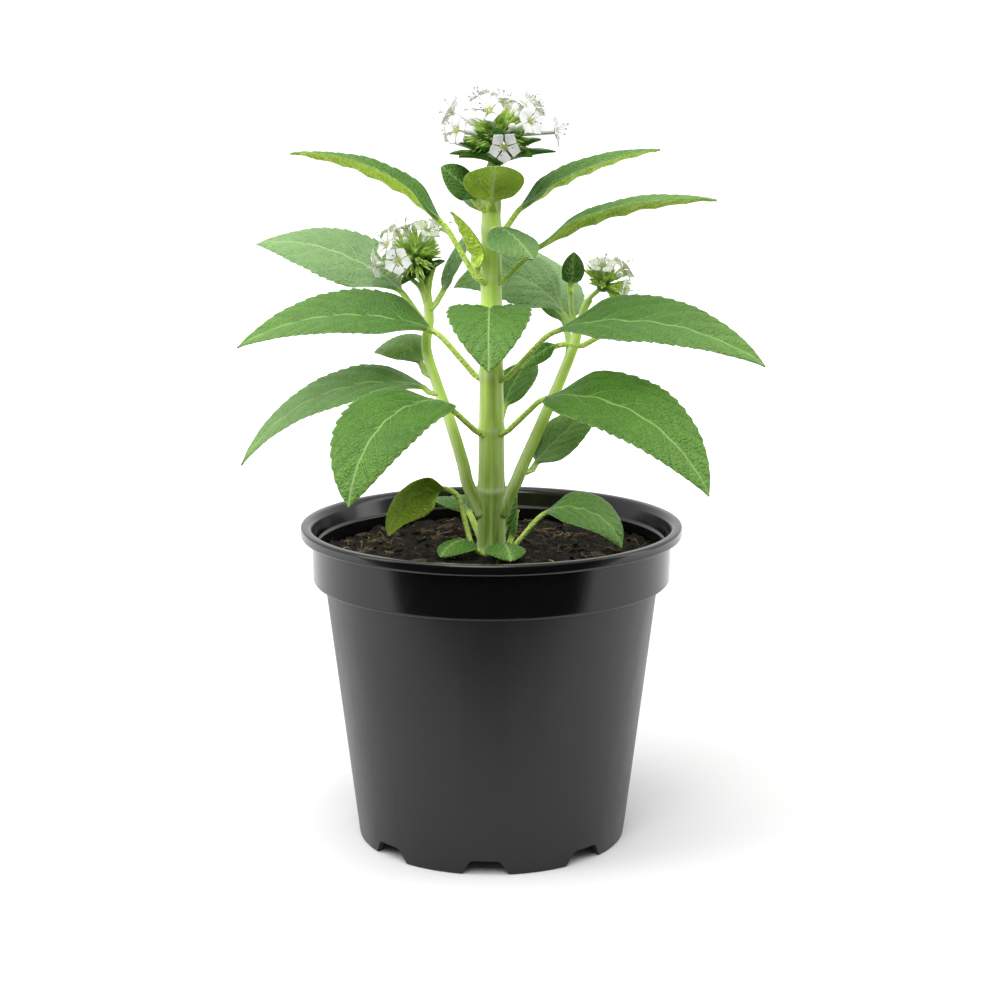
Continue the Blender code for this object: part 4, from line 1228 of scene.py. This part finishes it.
def add_white_bud(bm, layer, middle, turn_head, direction, core, rng):
    """A closed white bud that has just pushed out of its cup."""
    made = bmesh.ops.create_icosphere(bm, subdivisions=2, radius=1.0)["verts"]
    size = rng.uniform(0.8, 1.15)
    for vert in made:
        vert[layer] = 0.6 + 0.4 * vert.co.z
        vert.co = Vector((vert.co.x * 0.95 * size, vert.co.y * 0.95 * size, vert.co.z * 1.7 * size))
    bmesh.ops.translate(bm, verts=made, vec=(0, 0, core * CUP_SEAT + CALYX_LENGTH * 1.12))
    set_on_head(bm, made, middle, turn_head, direction)


def make_head(name, spec, materials):
    """White florets, bud cups and stamens of one flower head."""
    core, calyces, florets, reach, spread = spec[2:]
    middle, turn_head = head_frame(spec)
    rng = random.Random(7 + len(name))
    cups = bmesh.new()
    out = cups.verts.layers.float.new("out")
    ball = bmesh.ops.create_icosphere(cups, subdivisions=3, radius=core * BALL_SHARE)["verts"]
    bmesh.ops.translate(cups, verts=ball, vec=middle)
    for vert in ball:
        vert[out] = 0.0
    for direction in head_directions(calyces, min(reach + CUP_REACH, CUP_REACH_LIMIT), rng):
        add_calyx(cups, out, middle, turn_head, direction, core, rng)
    finished(name.replace("flower_head", "bud_cups"), cups, materials["bud"], (), 50.0)
    stars = bmesh.new()
    layer = stars.verts.layers.float.new("out")
    threads = bmesh.new()
    tip = threads.verts.layers.float.new("out")
    for direction in head_directions(florets, reach - FLORET_REACH_CUT, rng):
        direction = about("Z", STAR_TURN) @ direction
        length = FLORET_TUBE * (0.9 + spread * (1 - direction.z ** 2))
        turn = rng.uniform(0, 1.2)
        openness = rng.uniform(0.7, 1.3)
        length -= FUNNEL_DEPTH * openness
        foot = core * FLORET_SEAT
        add_floret(stars, layer, middle, turn_head, direction, foot, length, turn, openness, rng)
        outward = turn_head @ direction
        mouth = middle + outward * (foot + length - 0.6)
        for _ in range(STAMENS):
            stray = Vector([rng.uniform(-1, 1) for _ in range(3)])
            stray = (stray - outward * stray.dot(outward)).normalized()
            far = rng.uniform(3.2, 5.4)
            route = [mouth + outward * (far * t) + stray * (0.5 + 1.6 * t * t) for t in STAMEN_MARKS]
            add_thread(threads, route, STAMEN_RADIUS, ANTHER_RADIUS, tip)
    for direction in head_directions(florets, reach - BUD_REACH_CUT, rng):
        direction = about("Z", BUD_TURN) @ direction
        add_white_bud(stars, layer, middle, turn_head, direction, core, rng)
    finished(name + "_fine", stars, materials["petal"], (name,), 60.0)
    finished(name.replace("flower_head", "stamens"), threads, materials["thread"])


def make_bracts(name, spec, material):
    """A rosette of pointed bracts that spreads under a flower head."""
    head, count, length, half = spec
    seat, facing = HEADS[head][:2]
    bm = bmesh.new()
    layer = bm.verts.layers.float.new("out")
    bmesh.ops.create_cone(bm, cap_ends=True, segments=32, radius1=1.6, radius2=3.2, depth=1.6)
    for index in range(count * len(BRACT_RANKS)):
        rank = index // count
        size = length * BRACT_LENGTHS[index % 3] * BRACT_RANKS[rank]
        lift = 0.17 * (index % 4) + 0.5 * rank
        steep = BRACT_STEEP[rank]

        def shape(u, v, below, size=size, lift=lift, steep=steep):
            width = half * 1.35 * (0.55 + 2.2 * u) * (1 - u) ** 0.9 + 0.10
            rise = size * (steep * u - 0.14 * u * u) + 0.45 * width * v * v
            return Vector((1.2 + size * u, width * v, rise + lift - (0.36 if below else 0.0)))
        made = sheet_piece(bm, 12, 6, shape, layer)
        spin = about("Z", math.radians((index + 0.5 * rank) * 360.0 / count))
        turn_points(bm, made, spin)
    place = Matrix.Translation(Vector(seat) + Vector(facing).normalized() * 0.2)
    bmesh.ops.transform(bm, matrix=place @ frame_along(facing).to_4x4(), verts=bm.verts)
    bmesh.ops.recalc_face_normals(bm, faces=bm.faces)
    return finished(name + "_fine", bm, material, (name,), 60.0)


class STEVIA_OT_pot(bpy.types.Operator):
    """Turns the pot on its axis and cuts its feet and drain holes."""
    bl_idname = "stevia.pot"
    bl_label = "Build the pot"

    def execute(self, context):
        bm = turned(pot_profile(), POT_STEPS)
        pot = finished("pot_fine", bm, pot_material(), ("pot",), 40.0)
        guides = [notch_guide(), drain_guide()]
        for item in guides:
            step = pot.modifiers.new("cut_" + item.name, "BOOLEAN")
            step.operation = "DIFFERENCE"
            step.object = item
        context.view_layer.update()
        shape = bpy.data.meshes.new_from_object(pot.evaluated_get(context.evaluated_depsgraph_get()))
        pot.modifiers.clear()
        pot.data = shape
        for item in guides:
            bpy.data.objects.remove(item, do_unlink=True)
        shape.set_sharp_from_angle(angle=math.radians(40))
        return {"FINISHED"}


class STEVIA_OT_soil(bpy.types.Operator):
    """Fills the pot with crumbly peat, bark chips and fibres."""
    bl_idname = "stevia.soil"
    bl_label = "Build the soil"

    def execute(self, context):
        edge = COLLAR_RADIUS - WALL - 0.3 - SOIL_GAP
        rings = [edge * (index / SOIL_RINGS) for index in range(1, SOIL_RINGS + 1)]
        profile = [(0.0, SOIL_TOP)] + [(ring, SOIL_TOP) for ring in rings]
        profile += [(edge, SOIL_BOTTOM + 0.4), (edge - 3.0, SOIL_BOTTOM), (0.0, SOIL_BOTTOM)]
        bm = turned(profile, SOIL_STEPS)
        for vert in bm.verts:
            if abs(vert.co.z - SOIL_TOP) < 0.01:
                vert.co.z = fine_soil_height(vert.co.x, vert.co.y)
        bmesh.ops.recalc_face_normals(bm, faces=bm.faces)
        finished("soil_fine", bm, soil_material(), ("soil",))
        self.scatter_chips(edge)
        self.scatter_fibres(edge)
        return {"FINISHED"}

    def scatter_chips(self, edge):
        """Irregular flat chips, laid on the surface and turned every way."""
        rng = random.Random(21)
        bm = bmesh.new()
        tone = bm.verts.layers.float.new("tone")
        for _ in range(settings().chip_count):
            angle = rng.uniform(0, 2 * math.pi)
            radius = 6.0 + (edge - 8.5) * math.sqrt(rng.random())
            x, y = radius * math.cos(angle), radius * math.sin(angle)
            size = rng.uniform(0.7, 2.3) if rng.random() < 0.88 else rng.uniform(2.2, 3.6)
            made = bmesh.ops.create_icosphere(bm, subdivisions=1, radius=1.0)["verts"]
            shade = rng.random() ** 2.2
            shape = size * Vector([rng.uniform(*span) for span in CHIP_SHAPE])
            for vert in made:
                jolt = 1 + 0.35 * noise.noise(vert.co * 2.1 + Vector((x, y, 0)))
                vert.co = Vector((vert.co.x * shape.x, vert.co.y * shape.y, vert.co.z * shape.z)) * jolt
                vert[tone] = shade
            pitch = about("X", rng.uniform(-CHIP_TILT, CHIP_TILT))
            sway = about("Y", rng.uniform(-CHIP_TILT, CHIP_TILT))
            spin = about("Z", angle * 5)
            turn_points(bm, made, spin @ pitch @ sway)
            bmesh.ops.translate(bm, verts=made, vec=(x, y, fine_soil_height(x, y) + 0.25 * shape.z))
        chips = litter_material("bark_chips", (0.011, 0.008, 0.005), (0.19, 0.12, 0.07), 0.85)
        finished("soil_chips", bm, chips, (), 25.0)

    def scatter_fibres(self, edge):
        """Thin curved fibres and straw bits."""
        rng = random.Random(33)
        bm = bmesh.new()
        tone = bm.verts.layers.float.new("tone")
        for _ in range(settings().fibre_count):
            angle = rng.uniform(0, 2 * math.pi)
            radius = 7.0 + (edge - 12.0) * math.sqrt(rng.random())
            x, y = radius * math.cos(angle), radius * math.sin(angle)
            way = rng.uniform(0, 2 * math.pi)
            length = rng.uniform(2.5, 8.0)
            bend = rng.uniform(-0.16, 0.16)
            lift = rng.uniform(0.0, 1.2)
            route = []
            for step in range(6):
                t = step / 5
                route.append(Vector((x, y, fine_soil_height(x, y) + 0.25 + lift * math.sin(t * math.pi))))
                x += length / 5 * math.cos(way)
                y += length / 5 * math.sin(way)
                way += bend * 3
                if math.hypot(x, y) > edge - 1.0:
                    break
            if len(route) < 3:
                continue
            verts = add_thread(bm, route, rng.uniform(0.10, 0.26), 0.10, tone)
            shade = rng.random()
            for vert in verts:
                vert[tone] = shade
        straw = litter_material("soil_straw", (0.10, 0.055, 0.028), (0.52, 0.36, 0.17), 0.8)
        finished("soil_fibres", bm, straw)


class STEVIA_OT_stems(bpy.types.Operator):
    """Grows the ribbed main stem, the side branches and the twigs."""
    bl_idname = "stevia.stems"
    bl_label = "Build the stems"

    def execute(self, context):
        skin = stem_material()
        heights = stem_heights()
        bm = bmesh.new()
        centres = [Vector((0, 0, height)) for height in heights]
        radii = [swollen_radius(height) for height in heights]
        rings = [node_ring(height) for height in heights]
        ribbed_tube(bm, centres, radii, STEM_SIDES, STEM_RIB, rings)
        bmesh.ops.recalc_face_normals(bm, faces=bm.faces)
        finished("main_stem_fine", bm, skin, ("main_stem",))
        for name, spec in BRANCHES.items():
            self.make_branch(name, spec, skin)
        for name, spec in HEAD_STALKS.items():
            self.make_peduncles(name, spec, skin)
        return {"FINISHED"}

    def make_peduncles(self, name, spec, skin):
        """The short stalks that fan out under a flower head."""
        start, thick, thin, ends = spec
        bm = bmesh.new()
        for end in ends:
            low, high = Vector(start), Vector(end)
            knee = low.lerp(high, 0.5)
            knee.z += 1.2
            knee = knee.lerp(Vector((low.x, low.y, knee.z)), 0.35)
            route = smooth_route((low, knee, high), HEAD_STALK_STEPS)
            radii = [thick + (thin - thick) * index / HEAD_STALK_STEPS
                     for index in range(HEAD_STALK_STEPS + 1)]
            ribbed_tube(bm, route, radii, STALK_SIDES, STALK_RIB)
        bmesh.ops.recalc_face_normals(bm, faces=bm.faces)
        finished(name, bm, skin)

    def make_branch(self, name, spec, skin):
        """A branch whose foot bends into what bears it."""
        twig = name.startswith("twig")
        route = smooth_route((spec["root"], *spec["route"]), 30 if twig else 90)
        low, high = spec["radius"]
        count = len(route) - 1
        radii = []
        for index in range(count + 1):
            share = index / count
            flare = 1 + (0.0 if twig else BRANCH_FLARE) * math.exp(-(share / 0.06) ** 2)
            radii.append((low + (high - low) * share) * flare)
        bm = bmesh.new()
        ribbed_tube(bm, route, radii, BRANCH_SIDES, BRANCH_RIB)
        bmesh.ops.recalc_face_normals(bm, faces=bm.faces)
        finished(name + "_fine", bm, skin, (name,))


class STEVIA_OT_leaves(bpy.types.Operator):
    """Grows every leaf with its stalk, teeth and quilted veins."""
    bl_idname = "stevia.leaves"
    bl_label = "Build the leaves"

    def execute(self, context):
        green = leaf_material()
        for name, row in LEAVES.items():
            leaf = dict(zip(LEAF_FIELDS, row))
            leaf["base"] = ROUND_BASES.get(name, OUTLINE_BASE)
            leaf["lobe"] = LOBES.get(name, 0.0)
            make_leaf(name, leaf, green)
        return {"FINISHED"}


class STEVIA_OT_flowers(bpy.types.Operator):
    """Builds the flower heads and the bracts that carry them."""
    bl_idname = "stevia.flowers"
    bl_label = "Build the flower heads"

    def execute(self, context):
        materials = {
            "petal": petal_material(),
            "bud": bud_material(),
            "thread": thread_material(),
        }
        leafy = plain_material("bract_green_fine", (0.095, 0.27, 0.018), 0.48, 0.55)
        for name, spec in BRACTS.items():
            make_bracts(name, spec, leafy)
        for name, spec in HEADS.items():
            make_head(name, spec, materials)
        return {"FINISHED"}


class STEVIA_OT_stage(bpy.types.Operator):
    """Sets the pale floor, the soft lights and the camera."""
    bl_idname = "stevia.stage"
    bl_label = "Set the stage"

    def execute(self, context):
        self.make_floor()
        self.make_world(context)
        for name, row in LIGHTS.items():
            self.make_light(name, *row)
        self.make_camera(context)
        return {"FINISHED"}

    def make_floor(self):
        """A white floor that starts just below the picture and glows faintly far from the pot."""
        bm = bmesh.new()
        made = bmesh.ops.create_grid(bm, x_segments=1, y_segments=1, size=FLOOR_HALF)["verts"]
        bmesh.ops.translate(bm, verts=made, vec=(0.0, FLOOR_HALF + FLOOR_START, 0.0))
        mesh = bpy.data.meshes.new("floor")
        bm.to_mesh(mesh)
        bm.free()
        mat = Shading("floor_white")
        length = mat.node("ShaderNodeVectorMath", operation="LENGTH")
        mat.feed(length.inputs[0], mat.place())
        mat.colour((0.80, 0.80, 0.80))
        mat.rough(0.9)
        mat.feed(mat.shader.inputs["Emission Color"], (1.0, 1.0, 1.0))
        mat.feed(mat.shader.inputs["Emission Strength"], mat.ramp(length.outputs["Value"], 0.20, 0.80))
        mesh.materials.append(mat.material)
        floor = bpy.data.objects.new("floor", mesh)
        bpy.context.scene.collection.objects.link(floor)

    def make_world(self, context):
        """White behind, at the sides and above, and dark low down on the camera's side."""
        world = bpy.data.worlds.new("studio")
        world.use_nodes = True
        context.scene.world = world
        tree = world.node_tree
        coords = tree.nodes.new("ShaderNodeTexCoord")
        split = tree.nodes.new("ShaderNodeSeparateXYZ")
        tree.links.new(coords.outputs["Generated"], split.inputs[0])
        shades = []
        for axis, limits in (("Y", (-0.55, 0.10, 0.04, 1.0)), ("Z", (0.15, 0.75, 0.04, 0.90))):
            shade = tree.nodes.new("ShaderNodeMapRange")
            shade.interpolation_type = "SMOOTHSTEP"
            for socket, value in zip(shade.inputs[1:5], limits):
                socket.default_value = value
            tree.links.new(split.outputs[axis], shade.inputs["Value"])
            shades.append(shade.outputs[0])
        brighter = tree.nodes.new("ShaderNodeMath")
        brighter.operation = "MAXIMUM"
        for socket, shade in zip(brighter.inputs, shades):
            tree.links.new(shade, socket)
        back = tree.nodes["Background"]
        tree.links.new(brighter.outputs[0], back.inputs["Strength"])
        back.inputs["Color"].default_value = (1.0, 1.0, 1.0, 1.0)

    def make_light(self, name, place, wide, high, power):
        """A soft square light that looks at the plant's middle."""
        data = bpy.data.lights.new(name, "AREA")
        data.shape = "RECTANGLE"
        data.size = wide
        data.size_y = high
        data.energy = power
        light = bpy.data.objects.new(name, data)
        light.location = place
        aim = Vector((0.0, 0.0, LIGHT_AIM)) - Vector(place)
        light.rotation_euler = aim.to_track_quat("-Z", "Y").to_euler()
        bpy.context.scene.collection.objects.link(light)

    def make_camera(self, context):
        """A camera without blur at the place the photograph was taken from."""
        data = bpy.data.cameras.new("camera")
        data.lens = CAMERA_LENS
        data.sensor_width = 36.0
        data.clip_start = 0.01
        camera = bpy.data.objects.new("camera", data)
        camera.location = Vector(CAMERA_PLACE) * MM
        camera.rotation_euler = (math.radians(90.0 - CAMERA_PITCH), 0.0, 0.0)
        context.scene.collection.objects.link(camera)
        context.scene.camera = camera
        context.scene.view_settings.view_transform = "Standard"


class STEVIA_PT_panel(bpy.types.Panel):
    """Lists the plant's sizes, colours and building steps."""
    bl_idname = "STEVIA_PT_panel"
    bl_label = "Stevia plant"
    bl_space_type = "VIEW_3D"
    bl_region_type = "UI"
    bl_category = "Stevia"

    def draw(self, context):
        plant = context.scene.stevia_plant
        for name in PlantSettings.__annotations__:
            self.layout.prop(plant, name)
        for step in STEPS:
            self.layout.operator(step.bl_idname)


STEPS = (STEVIA_OT_stage, STEVIA_OT_pot, STEVIA_OT_soil, STEVIA_OT_stems, STEVIA_OT_leaves, STEVIA_OT_flowers)
CLASSES = (PlantSettings, *STEPS, STEVIA_PT_panel)


def register():
    for item in CLASSES:
        bpy.utils.register_class(item)
    bpy.types.Scene.stevia_plant = PointerProperty(type=PlantSettings)


def unregister():
    del bpy.types.Scene.stevia_plant
    for item in reversed(CLASSES):
        bpy.utils.unregister_class(item)


def main():
    register()
    bpy.ops.stevia.stage()
    bpy.ops.stevia.pot()
    bpy.ops.stevia.soil()
    bpy.ops.stevia.stems()
    bpy.ops.stevia.leaves()
    bpy.ops.stevia.flowers()


if __name__ == "__main__":
    main()
